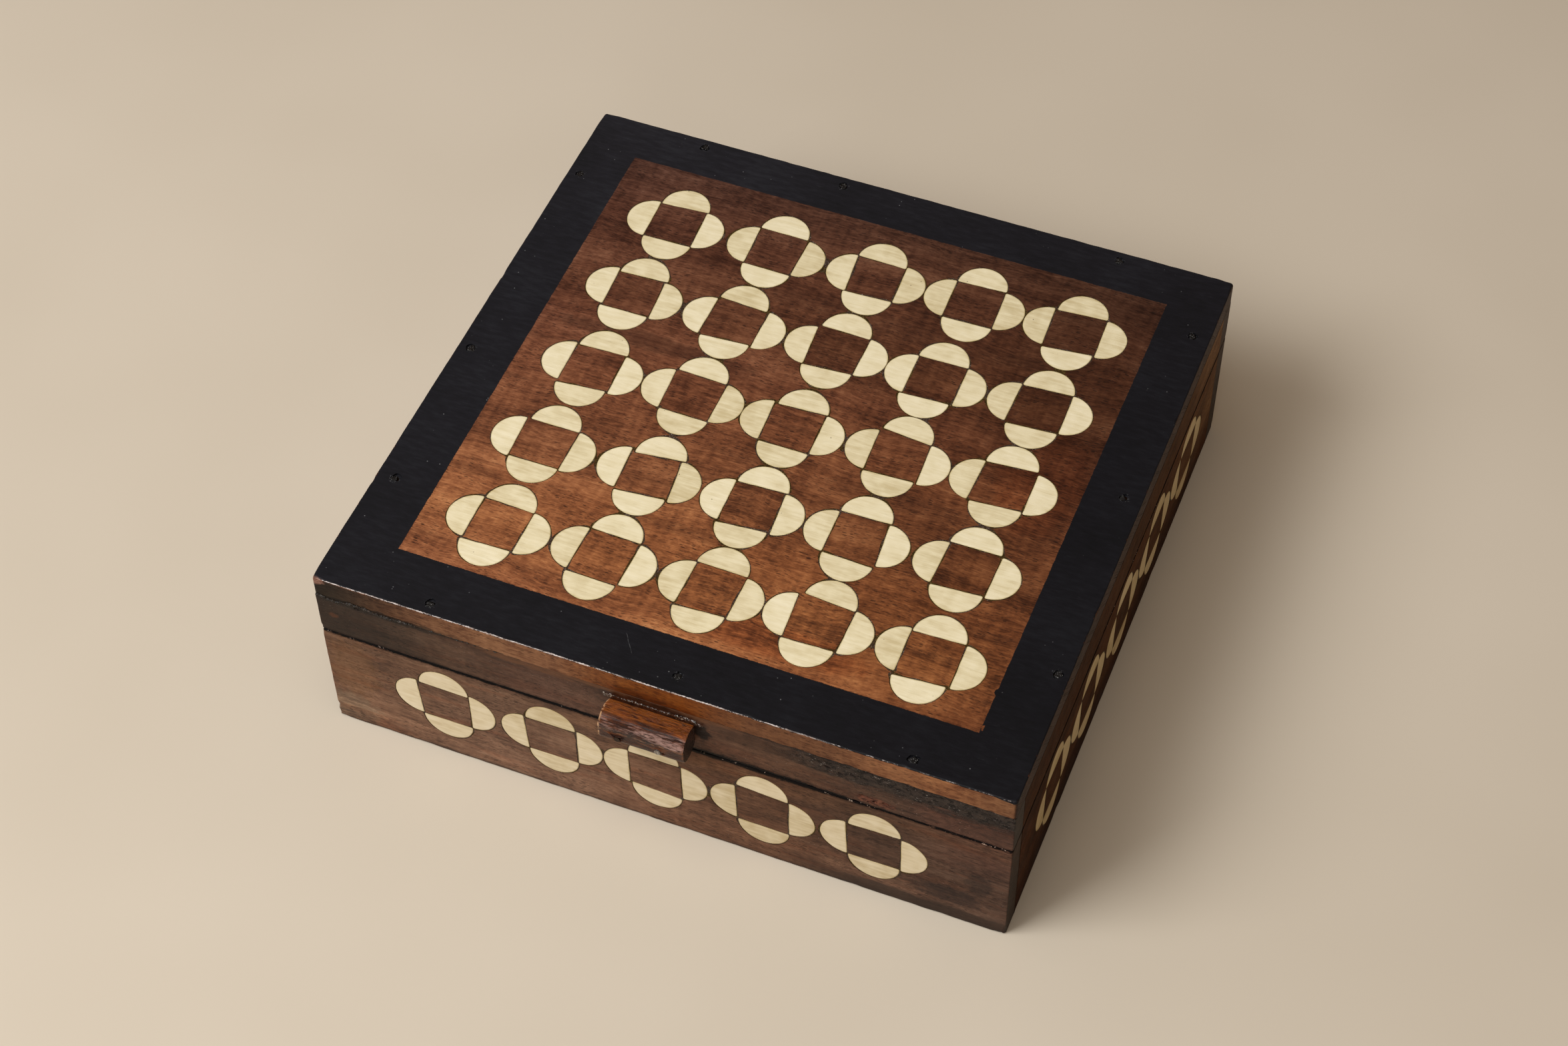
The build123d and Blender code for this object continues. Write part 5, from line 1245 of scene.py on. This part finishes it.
# the front and side copies are the same cream wood with painted shade: the front a little darker, the sides darker and
# warmer
PETAL_TOP = petal_wood("petal_wood_top", "X", srgb(229, 219, 184), srgb(206, 192, 152))
PETAL_FRONT_SHADED = petal_wood("petal_wood_front_shaded", "X", srgb(223, 210, 178), srgb(200, 183, 144))
PETAL_SIDE_SHADED = petal_wood("petal_wood_side_shaded", "Y", srgb(211, 192, 148), srgb(186, 164, 116))
FILLER, PLUG = filler_mat(), plug_mat()
LID_WOOD, PULL_WOOD, PANEL_WOOD = lid_wood(), pull_wood(), panel_wood()
RIM_FRONT = rim_front_wood()
WALL_X = wall_wood("wall_wood_long", "X", 2.0, LONG)
# the right wall is a darker, warmer copy of the side wood: painted shade, as the right side faces away from the key
# light
WALL_RIGHT_SHADED = wall_wood("wall_wood_right_shaded", "Y", 3.0, RIGHT_SHADE_BOUNCE_LONG, (0.64, 0.52, 0.38), 0.02)
WALL_LEFT = wall_wood("wall_wood_left", "Y", 8.0, None, (0.95, 0.90, 0.82), 0.08)
RIM_X = wall_wood("rim_wood_back", "X", 5.0, RIM_LONG)
# painted shade: the right rim too is a darker, warmer copy
RIM_RIGHT_SHADED = wall_wood("rim_wood_right_shaded", "Y", 6.0, RIM_RIGHT_SHADE_BOUNCE_LONG, (0.47, 0.38, 0.28), 0.02)
RIM_LEFT = wall_wood("rim_wood_left", "Y", 9.0, None, (0.85, 0.80, 0.72), 0.08)
BRASS, SCREW_BRASS, STEEL = brass_mat("hinge_brass", 1.0), brass_mat("screw_brass", 4.0), steel_mat()
BEAD, CRUST = glue_bead_mat(), crust_mat()

# --- the lid's top board ----------------------------------------------------
lid_top = slab("lid_top_board", TOP, 0, 0, 2 * W2, 2 * D2, STOCK, 1.2,
               (0.55, 0.5, 0.55, 0.5), 0.12, 3, step=0.9, ragged=0.35,
               nicks=[(-W2, -D2, 5.0, 0.9), (W2, -D2, 4.0, 0.5), (W2, D2, 6.0, 0.7), (-W2, D2, 6.0, 0.7),
                      (-71, -D2, 2.2, 0.5), (-22, -D2, 1.6, 0.5), (33, -D2, 2.6, 0.4), (88, -D2, 1.8, 0.6),
                      (W2, -41, 2.4, 0.5), (W2, 52, 3.2, 0.6), (-W2, 30, 2.4, 0.5), (-W2, -77, 2.0, 0.5),
                      (60, D2, 2.4, 0.15), (-48, D2, 3.0, 0.2)])
top_filler = inlay(TOP, TOP_INLAY, 11, ["lid_inlay_row_%d" % k for k in range(1, 6)], "lid", PETAL_TOP, lid_top)
holes, plugs = [], []
for i, (x, y) in enumerate(TOP_PINS):
    holes.append(loops_mesh(ragged_hole(TOP, x, y, 1.65 + 0.25 * rng.random(), 0.8, 20 + i, jag=0.38)))
cut(lid_top, [new_object("holes", *join_meshes(holes))])
pin_tool = copy_of("lid_top_pins")
cut(lid_top, [pin_tool], keep_tools=True)
give(lid_top, LID_WOOD, "lid", "lid_top_panel", 32)
give(top_filler, FILLER, "lid", angle=None)
top_filler.name = "lid_inlay_filler"

# black filler over each pin: an uneven, shrunken plug with a crevice at one side
for i, (x, y) in enumerate(TOP_PINS):
    a = rng.uniform(0, 2 * math.pi)
    off = rng.uniform(0.12, 0.35)
    u, v = x + off * math.cos(a), y + off * math.sin(a)
    r = 1.25 + 0.2 * rng.random()
    rows = []
    quiet = 0.45 if y > -D2 + 20 and x < W2 - 20 else 1.0     # better filled at the left and the back
    for k, (f, w) in enumerate(((0.30, -0.16), (0.62, -0.12), (0.88, -0.20), (1.0, -0.42))):
        ring = ragged_hole(TOP, u, v, r * f * (1.0 + 0.22 * (1.0 - quiet)), 0.0, 40 + i, up=0.0, n=30, jag=0.55)[0]
        lift = 0.16 * vnoise(ring, 0.9, 60 + i) + 0.05 * vnoise(ring, 0.35, 61 + i)
        w, lift = w * quiet, lift * quiet
        ring[:, 2] = np.minimum(ring[:, 2] + w + lift, H - 0.03)
        rows.append(ring)
    low = rows[-1].copy()
    low[:, 2] = H - 0.80
    rows.append(low)
    plugs.append(loops_mesh(rows))
pv, pf = join_meshes(plugs)
give(new_object("lid_pin_plugs", pv, pf), PLUG, "lid", angle=40)

# --- the four walls ---------------------------------------------------------
box_pins, brads = copy_of("box_corner_pins"), copy_of("bottom_brads")
box_screws, lid_screws = copy_of("hinge_box_screws"), copy_of("hinge_lid_screws")
rim_pins, nails = copy_of("rim_corner_pins"), copy_of("pull_nails")


def rebate(long):
    """The space of the bottom panel, below the walls' inner edges."""
    hx, hy = W2 - STOCK + REBATE, D2 - STOCK + REBATE
    return block(-hx, hx, -hy, hy, -1.0, BOTTOM_T)


def mortises(z0, z1):
    out = []
    for cx in (-HINGE_X, HINGE_X):
        out.append(block(cx - HINGE_LEN / 2, cx + HINGE_LEN / 2, D2 - LEAF_W, D2 + 1.0, z0, z1))
    return out


front = slab("front_wall_board", FRONT, 0, WALL_TOP / 2, 2 * W2, WALL_TOP, STOCK, 0.7,
             (0.95, 0.5, 0.40, 0.5), 0.15, 5, ragged=0.24,
             nicks=[(-W2, 6.5, 1.8, 1.1), (-W2, 0.5, 4.0, 0.8), (W2, 0.5, 5.0, 1.2), (W2, WALL_TOP, 3.0, 0.6), (-W2, WALL_TOP, 3.0, 0.7),
                    (-93, 0, 4.0, 0.3), (-38, 0, 3.0, 0.25), (12, 0, 5.0, 0.25), (71, 0, 3.5, 0.3), (104, 0, 6.0, 0.25),
                    (-104, WALL_TOP, 1.5, 0.6), (-80, WALL_TOP, 1.2, 0.5), (-60, WALL_TOP, 2.0, 0.4), (38, WALL_TOP, 1.4, 0.6), (66, WALL_TOP, 1.8, 0.5), (81, WALL_TOP, 1.2, 0.8), (99, WALL_TOP, 1.6, 0.6)])
cut(front, [rebate(True)])
front_filler = inlay(FRONT, FRONT_INLAY, 12, ["front_inlay"], "box", PETAL_FRONT_SHADED, front)
cut(front, [box_pins, brads], keep_tools=True)
give(front, WALL_X, "box", "front_wall", 32)

back = slab("back_wall_board", BACK, 0, WALL_TOP / 2, 2 * W2, WALL_TOP, STOCK, 0.7,
            (0.95, 0.5, 0.40, 0.5), 0.15, 6, ragged=0.24,
            nicks=[(-W2, 0.5, 4.0, 0.9), (W2, 0.5, 4.0, 0.8), (30, 0, 4.0, 0.8), (-66, 0, 5.0, 0.7), (-20, WALL_TOP, 2.0, 0.5), (8, WALL_TOP, 1.5, 0.6)])
cut(back, [rebate(True)])
back_filler = inlay(BACK, BACK_INLAY, 13, ["back_inlay"], "box", PETAL_FRONT_SHADED, back)
cut(back, mortises(WALL_TOP - LEAF_T, WALL_TOP + 1.0))
cut(back, [box_pins, brads, box_screws], keep_tools=True)
give(back, WALL_X, "box", "back_wall", 32)


def side(name, face, seed, motifs, node, crack, mat):
    ob = slab(name, face, 0, WALL_TOP / 2, 2 * (D2 - STOCK), WALL_TOP, STOCK, 0.12,
              (0.95, 0.10, 0.40, 0.10), 0.15, seed, ragged=0.24,
              nicks=[(-70, 0, 4.0, 0.8), (-20, 0, 3.0, 0.7), (44, 0, 5.0, 0.9), (-58, WALL_TOP, 1.6, 0.5), (22, WALL_TOP, 1.6, 0.6), (90, WALL_TOP, 1.6, 0.5)])
    cut(ob, [rebate(False)])
    fill = inlay(face, motifs, seed + 20, [node.replace("wall", "inlay")], "box", PETAL_SIDE_SHADED, ob)
    # the joint with the long wall has opened a little, most at the top
    for u0, s, wide in crack:
        v = np.linspace(WALL_TOP + 0.5, 5.0, 40)
        mid = u0 + s * (0.05 + 0.16 * (1 + noise1(v, 7.0, seed)) + 0.05 * noise1(v, 1.6, seed + 1))
        half = np.maximum(wide * (0.12 + 0.88 * ((v - 5) / WALL_TOP) ** 0.8) * (1 + 0.35 * noise1(v, 3.0, seed + 2)), 0.05)
        a = np.stack([mid - half / 2, v, np.full_like(v, 0.5)], 1)
        b = np.stack([mid + half / 2, v, np.full_like(v, 0.5)], 1)
        loop = np.concatenate([a, b[::-1]])
        low = loop.copy()
        low[:, 2] = -2.2
        if np.cross(loop[1, :2] - loop[0, :2], loop[-1, :2] - loop[0, :2]) < 0:
            loop, low = loop[::-1], low[::-1]
        cut(ob, [new_object("crack", *loops_mesh([face.at(loop), face.at(low)]))])
    cut(ob, [box_pins, brads], keep_tools=True)
    give(ob, mat, "box", node, 32)
    return fill


SIDE_END = D2 - STOCK
right_filler = side("right_wall_board", RIGHT, 7, RIGHT_INLAY, "right_wall", [(-SIDE_END, 1, 0.55), (SIDE_END, -1, 0.25)], WALL_RIGHT_SHADED)
left_filler = side("left_wall_board", LEFT, 8, LEFT_INLAY, "left_wall", [(-SIDE_END, 1, 0.20), (SIDE_END, -1, 0.25)], WALL_LEFT)
for ob, name in ((front_filler, "front_inlay_filler"), (back_filler, "back_inlay_filler"),
                 (right_filler, "right_inlay_filler"), (left_filler, "left_inlay_filler")):
    ob.name = name
    give(ob, FILLER, "box", angle=None)

# --- the lid's rims ---------------------------------------------------------
RC, RH = (RIM_TOP + RIM_LOW) / 2, RIM_TOP - RIM_LOW
rim_front = slab("lid_rim_front_board", FRONT, 0, RC, 2 * W2, RH, STOCK, 0.6,
                 (0.42, 0.5, 0.12, 0.5), 0.15, 9, ragged=0.30,
                 nicks=[(-W2, RIM_LOW, 3.0, 0.7), (W2, RIM_LOW, 2.5, 0.6), (-117, RIM_TOP, 3.0, 0.5), (-104, RIM_TOP, 2.2, 0.5), (-88, RIM_TOP, 2.0, 0.4),
                        (56, RIM_LOW, 1.6, 0.6), (72, RIM_LOW, 1.8, 0.8), (-30, RIM_LOW, 1.3, 0.5), (112, RIM_TOP, 3.0, 0.6), (92, RIM_TOP, 2.0, 0.5), (76, RIM_TOP, 2.0, 0.5)])
torn = []
for i, (u, v, a, b, d) in enumerate([(74.5, 56.6, 1.5, 0.8, 0.5), (78.6, 55.4, 1.1, 0.7, 0.45), (82.4, 56, 1.3, 0.6, 0.4), (76.8, 54.2, 1.0, 0.6, 0.4),
                                     (61.5, 66.8, 1.2, 0.5, 0.3), (66.0, 65.4, 0.8, 0.5, 0.3), (70.4, 66.6, 0.7, 0.6, 0.35), (101.0, 54.6, 0.9, 0.5, 0.3),
                                     (-111.0, 69.9, 1.5, 0.5, 0.4), (-99.0, 70.2, 1.2, 0.4, 0.35), (121.0, 67.6, 1.4, 0.5, 0.35), (110.0, 68.9, 1.2, 0.4, 0.3)]):
    p, f = lump((0, 0, 0), (a, b, d), 200 + i, 0.4, 3)
    torn.append((FRONT.at(p + np.array([u, v, 0.0])), f))
cut(rim_front, [new_object("torn", *t) for t in torn])
cut(rim_front, [pin_tool, rim_pins, nails], keep_tools=True)
give(rim_front, RIM_FRONT, "lid", "lid_rim_front", 32)

rim_back = slab("lid_rim_back_board", BACK, 0, RC, 2 * W2, RH, STOCK, 0.6, (0.42, 0.5, 0.35, 0.5), 0.15, 10, ragged=0.30,
                nicks=[(-W2, RIM_LOW, 2.5, 0.6), (W2, RIM_LOW, 2.5, 0.6), (12, RIM_LOW, 1.8, 0.6)])
cut(rim_back, mortises(RIM_LOW - 1.0, RIM_LOW + LEAF_T))
cut(rim_back, [pin_tool, rim_pins, lid_screws], keep_tools=True)
give(rim_back, RIM_X, "lid", "lid_rim_back", 32)
for name, face, seed, node, mat in (("lid_rim_right_board", RIGHT, 14, "lid_rim_right", RIM_RIGHT_SHADED), ("lid_rim_left_board", LEFT, 15, "lid_rim_left", RIM_LEFT)):
    ob = slab(name, face, 0, RC, 2 * SIDE_END, RH, STOCK, 0.12, (0.42, 0.08, 0.35, 0.08), 0.15, seed, ragged=0.30,
              nicks=[(-40, RIM_LOW, 1.6, 0.6), (33, RIM_LOW, 1.8, 0.5), (70, RIM_LOW, 1.5, 0.6)])
    cut(ob, [pin_tool, rim_pins], keep_tools=True)
    give(ob, mat, "lid", node, 32)

# old black filler, crusted in the joint below the top board, mostly at its left end
crust = []
for i, x in enumerate(np.arange(-126.1, -56.0, 0.46)):
    r1, r2, r3, r4 = rng.random(4)
    full = np.clip((-86.0 - x) / 10.0, 0.0, 1.0)
    if r1 > 0.30 + 0.66 * full:
        continue
    k = (0.55 + 0.45 * full) * (0.6 + 0.8 * r2)
    size = (0.62 * k + 0.12, 0.36 * k, (0.26 + 0.22 * r4) * k)
    p, f = lump((0, 0, 0), size, 400 + i, 0.45, 2)
    q = rng.normal(0, 0.25)
    c_, s_ = math.cos(q), math.sin(q)
    p = np.stack([p[:, 0] * c_ - p[:, 2] * s_, p[:, 1], p[:, 0] * s_ + p[:, 2] * c_], 1)
    p = p + (x + 0.3 * (r3 - 0.5), -D2 + 0.02, RIM_TOP + 0.05 + (0.50 * full + 0.22) * noise1([x], 3.3, 390)[0] + 0.2 * (r4 - 0.5))
    p[:, 0] = np.maximum(p[:, 0], -W2 + 0.15)
    crust.append((p, f))
give(new_object("joint_crust", *join_meshes(crust)), CRUST, "lid", angle=50)

# --- the pull ---------------------------------------------------------------
PULL_X0, PULL_X1 = -17.0, 14.4
PROFILE = [(0.05, 65.8), (1.0, 66.6), (2.2, 67.1), (3.4, 67.5), (4.7, 67.7), (6.1, 67.55), (7.3, 67.1), (8.5, 66.3), (9.4, 65.3),
           (10.1, 64.1), (10.45, 62.7), (10.42, 61.6), (10.39, 60.4), (10.36, 59.2), (10.32, 58.4), (9.95, 57.2), (9.3, 56.1), (8.3, 55.3),
           (7.1, 54.8), (5.8, 54.55), (4.5, 54.5), (3.2, 54.85), (2.0, 55.4), (1.0, 56.1), (0.05, 57)]


def dense(profile, k=2):
    """Catmull-Rom points through a profile, then evenly between its ends."""
    p = np.array(profile)
    q = np.concatenate([[2 * p[0] - p[1]], p, [2 * p[-1] - p[-2]]])
    out = []
    for i in range(len(p) - 1):
        a, b, c, d = q[i:i + 4]
        for s in np.arange(k) / k:
            out.append(0.5 * (2 * b + (c - a) * s + (2 * a - 5 * b + 4 * c - d) * s * s + (3 * b - a - 3 * c + d) * s ** 3))
    out.append(p[-1])
    return np.array(out)


prof = dense(PROFILE, 3)
back_line = np.stack([np.full(5, 0.05), np.linspace(57.0, 65.8, 7)[1:-1]], 1)
prof = np.concatenate([prof, back_line])
mid = np.array([4.6, 61.1])
rows = []
xs = np.concatenate([[0.0, 0.0, 0.15, 0.45, 0.9], np.linspace(1.6, PULL_X1 - PULL_X0 - 1.6, 56),
                     PULL_X1 - PULL_X0 - np.array([0.9, 0.45, 0.15, 0.0, 0.0])])
shrink = [0.55, 0.90, 0.965, 0.99, 1.0] + [1.0] * 56 + [1.0, 0.99, 0.965, 0.90, 0.55]
for i, (dx, f) in enumerate(zip(xs, shrink)):
    x = PULL_X0 + dx
    p = mid + (prof - mid) * f
    w = np.concatenate([np.full((len(p), 1), x), p], 1)
    n = (p - mid) / np.linalg.norm(p - mid, axis=1)[:, None]
    lumpy = 0.13 * vnoise(w, 6.5, 301) + 0.07 * vnoise(w * (0.35, 1, 1), 1.5, 302) - 0.14
    lumpy = np.where(p[:, 0] < 0.4, 0.0, lumpy)
    p = p + n * np.clip(lumpy, -0.45, 0.0)[:, None]
    p[:, 0] = np.maximum(p[:, 0], 0.03)
    tip = 0.12 * vnoise(w, 3.0, 303) * (1 if i < 5 else -1 if i > len(xs) - 6 else 0)
    rows.append(np.stack([x + np.clip(tip, 0 if i < 5 else -0.2, 0.2 if i < 5 else 0), -D2 - p[:, 0], p[:, 1]], 1))
# loops run so that the first cap looks to -X
pull = new_object("lid_pull_bar", *loops_mesh(rows))
bm = bmesh.new()
bm.from_mesh(pull.data)
bmesh.ops.recalc_face_normals(bm, faces=bm.faces)
bm.to_mesh(pull.data)
bm.free()
broken = [lump((-9.9, -D2 - 10.5, 57.6), (2.1, 1.0, 0.9), 311, 0.4), lump((-11.6, -D2 - 9.6, 56.4), (1.3, 1.0, 0.8), 312, 0.4),
          lump((7.0, -D2 - 10.7, 59), (0.85, 0.9, 0.7), 313, 0.35), lump((-6.0, -D2 - 10.2, 57), (0.9, 0.6, 0.6), 314, 0.4),
          lump((3.2, -D2 - 10.75, 60.4), (1.2, 0.5, 0.4), 315, 0.4)]
cut(pull, [new_object("broken", *t) for t in broken])
cut(pull, [nails], keep_tools=True)
give(pull, PULL_WOOD, "lid", "lid_pull", 38)

# wood broken up round the left nail
splinters = []
for i, (x, z, a, q) in enumerate([(-11.6, 60.4, 1.5, -0.5), (-10.9, 59.2, 1.2, -0.9), (-8.5, 58.6, 1.0, 0.5), (-9.3, 60.7, 1.3, 0.15), (-12.4, 61.2, 1.1, -0.2), (-7.9, 60.0, 0.9, 0.9)]):
    p, f = lump((0, 0, 0), (a, 0.30, 0.26), 350 + i, 0.35, 2)
    c_, s_ = math.cos(q), math.sin(q)
    p = np.stack([p[:, 0] * c_ - p[:, 2] * s_, p[:, 1], p[:, 0] * s_ + p[:, 2] * c_], 1) + (x, -D2 - 10.30, z)
    p[:, 1] = np.maximum(p[:, 1], -D2 - 10.72)
    splinters.append((p, f))
give(new_object("pull_splinters", *join_meshes(splinters)), PULL_WOOD, "lid", angle=40)

# old glue squeezed out above the pull: glossy beads, thickest at the two ends
beads = []
for i, x in enumerate(np.linspace(-18.4, 17.0, 84)):
    r1, r2, r3, r4 = rng.random(4)
    at_end = max(0.0, 1 - abs(x + 16.0) / 5.0, 1 - abs(x - 10.5) / 7.0, 0.8 - abs(x + 7.5) / 4.0, 0.9 - abs(x - 4.2) / 2.0)
    k = 0.55 + 0.45 * r1 ** 2 + 0.55 * at_end * r4
    p, f = lump((0, 0, 0), (0.85 * k, 0.50 * k, 0.70 * k), 330 + i, 0.42, 2)
    z = 67.7 + 1.1 * at_end * (r2 - 0.35) + 0.25 * noise1([x], 5.0, 323)[0] - (0.8 if x > 14.6 else 0.0)
    beads.append((p + (x + 0.3 * (r3 - 0.5), -D2 - 0.05, z), f))
bead = new_object("pull_glue_bead", *join_meshes(beads))
give(bead, BEAD, "lid", angle=60)

# --- hardware ---------------------------------------------------------------
def hardware(node, mat, body, bevel):
    ob = copy_of(node)
    ob.name = node + "_finished"
    if bevel:
        m = ob.modifiers.new("bevel", "BEVEL")
        m.width, m.segments, m.limit_method, m.angle_limit = bevel * MM, 2, "ANGLE", math.radians(40)
        m.use_clamp_overlap = True
        dg = bpy.context.evaluated_depsgraph_get()
        dg.update()
        me = bpy.data.meshes.new_from_object(ob.evaluated_get(dg))
        ob.modifiers.clear()
        ob.data = me
    return give(ob, mat, body, node, 40)


for lr in ("left", "right"):
    hardware(lr + "_hinge_box_leaf", BRASS, "box", 0.10)
    hardware(lr + "_hinge_lid_leaf", BRASS, "lid", 0.10)
    hardware(lr + "_hinge_pin", STEEL, "box", 0.12)
hardware("hinge_box_screws", SCREW_BRASS, "box", 0.04)
hardware("hinge_lid_screws", SCREW_BRASS, "lid", 0.04)
hardware("pull_nails", STEEL, "lid", 0.15)
hardware("bottom_brads", STEEL, "box", 0.10)
for t in (pin_tool, box_pins, brads, box_screws, lid_screws, rim_pins, nails):
    drop(t)

# pieces that keep their CAD mesh
for node, mat in (("bottom_panel", PANEL_WOOD), ("box_corner_pins", STEEL), ("rim_corner_pins", STEEL), ("lid_top_pins", STEEL)):
    ob = nodes[node]
    ob.data.materials.clear()
    ob.data.materials.append(mat)

# ---------------------------------------------------------------------------
# floor, light and camera
# ---------------------------------------------------------------------------
sc = bpy.context.scene
floor_me = bpy.data.meshes.new("floor")
floor_me.from_pydata([(-4, -4, 0), (4, -4, 0), (4, 4, 0), (-4, 4, 0)], [], [(0, 1, 2, 3)])
floor = bpy.data.objects.new("floor", floor_me)
sc.collection.objects.link(floor)
g = Graph("floor_pale")
tone = g.noise((160.0, 160.0, 160.0), 2.0, 2.0)
floor_me.materials.append(g.finish(g.ramp(tone, [(0.3, (0.62, 0.56, 0.465)), (0.7, (0.66, 0.60, 0.505))]), 0.6, Specular_IOR_Level=0.2))

world = bpy.data.worlds.new("studio")
world.use_nodes = True
world.node_tree.nodes["Background"].inputs[0].default_value = (1.0, 0.62, 0.32, 1.0)
world.node_tree.nodes["Background"].inputs[1].default_value = WORLD
sc.world = world


def area(name, at, size, power, color, look=(0, 0, 0.04)):
    lamp = bpy.data.lights.new(name, "AREA")
    lamp.shape, lamp.size, lamp.size_y = "RECTANGLE", size[0], size[1]
    lamp.energy, lamp.color = power, color
    ob = bpy.data.objects.new(name, lamp)
    sc.collection.objects.link(ob)
    ob.location = at
    ob.rotation_euler = (Vector(look) - Vector(at)).to_track_quat("-Z", "Y").to_euler()
    return ob


for args in LIGHTS:
    area(*args)

cam = bpy.data.cameras.new("camera")
cam.lens, cam.sensor_width, cam.sensor_fit = 67.567, 36.0, "HORIZONTAL"
cam.clip_start, cam.clip_end = 0.05, 50.0
camera = bpy.data.objects.new("camera", cam)
sc.collection.objects.link(camera)
right = Vector((0.92915936, 0.36958985, -0.00813773))
down = Vector((0.28158984, -0.7218443, -0.63217717))
ahead = Vector((-0.23952044, 0.58510184, -0.77478113))
m = Matrix((right, -down, -ahead)).transposed().to_4x4()
m.translation = Vector((0.25776939, -0.63759189, 0.86772230))
camera.matrix_world = m
sc.camera = camera
sc.view_settings.view_transform = "Standard"
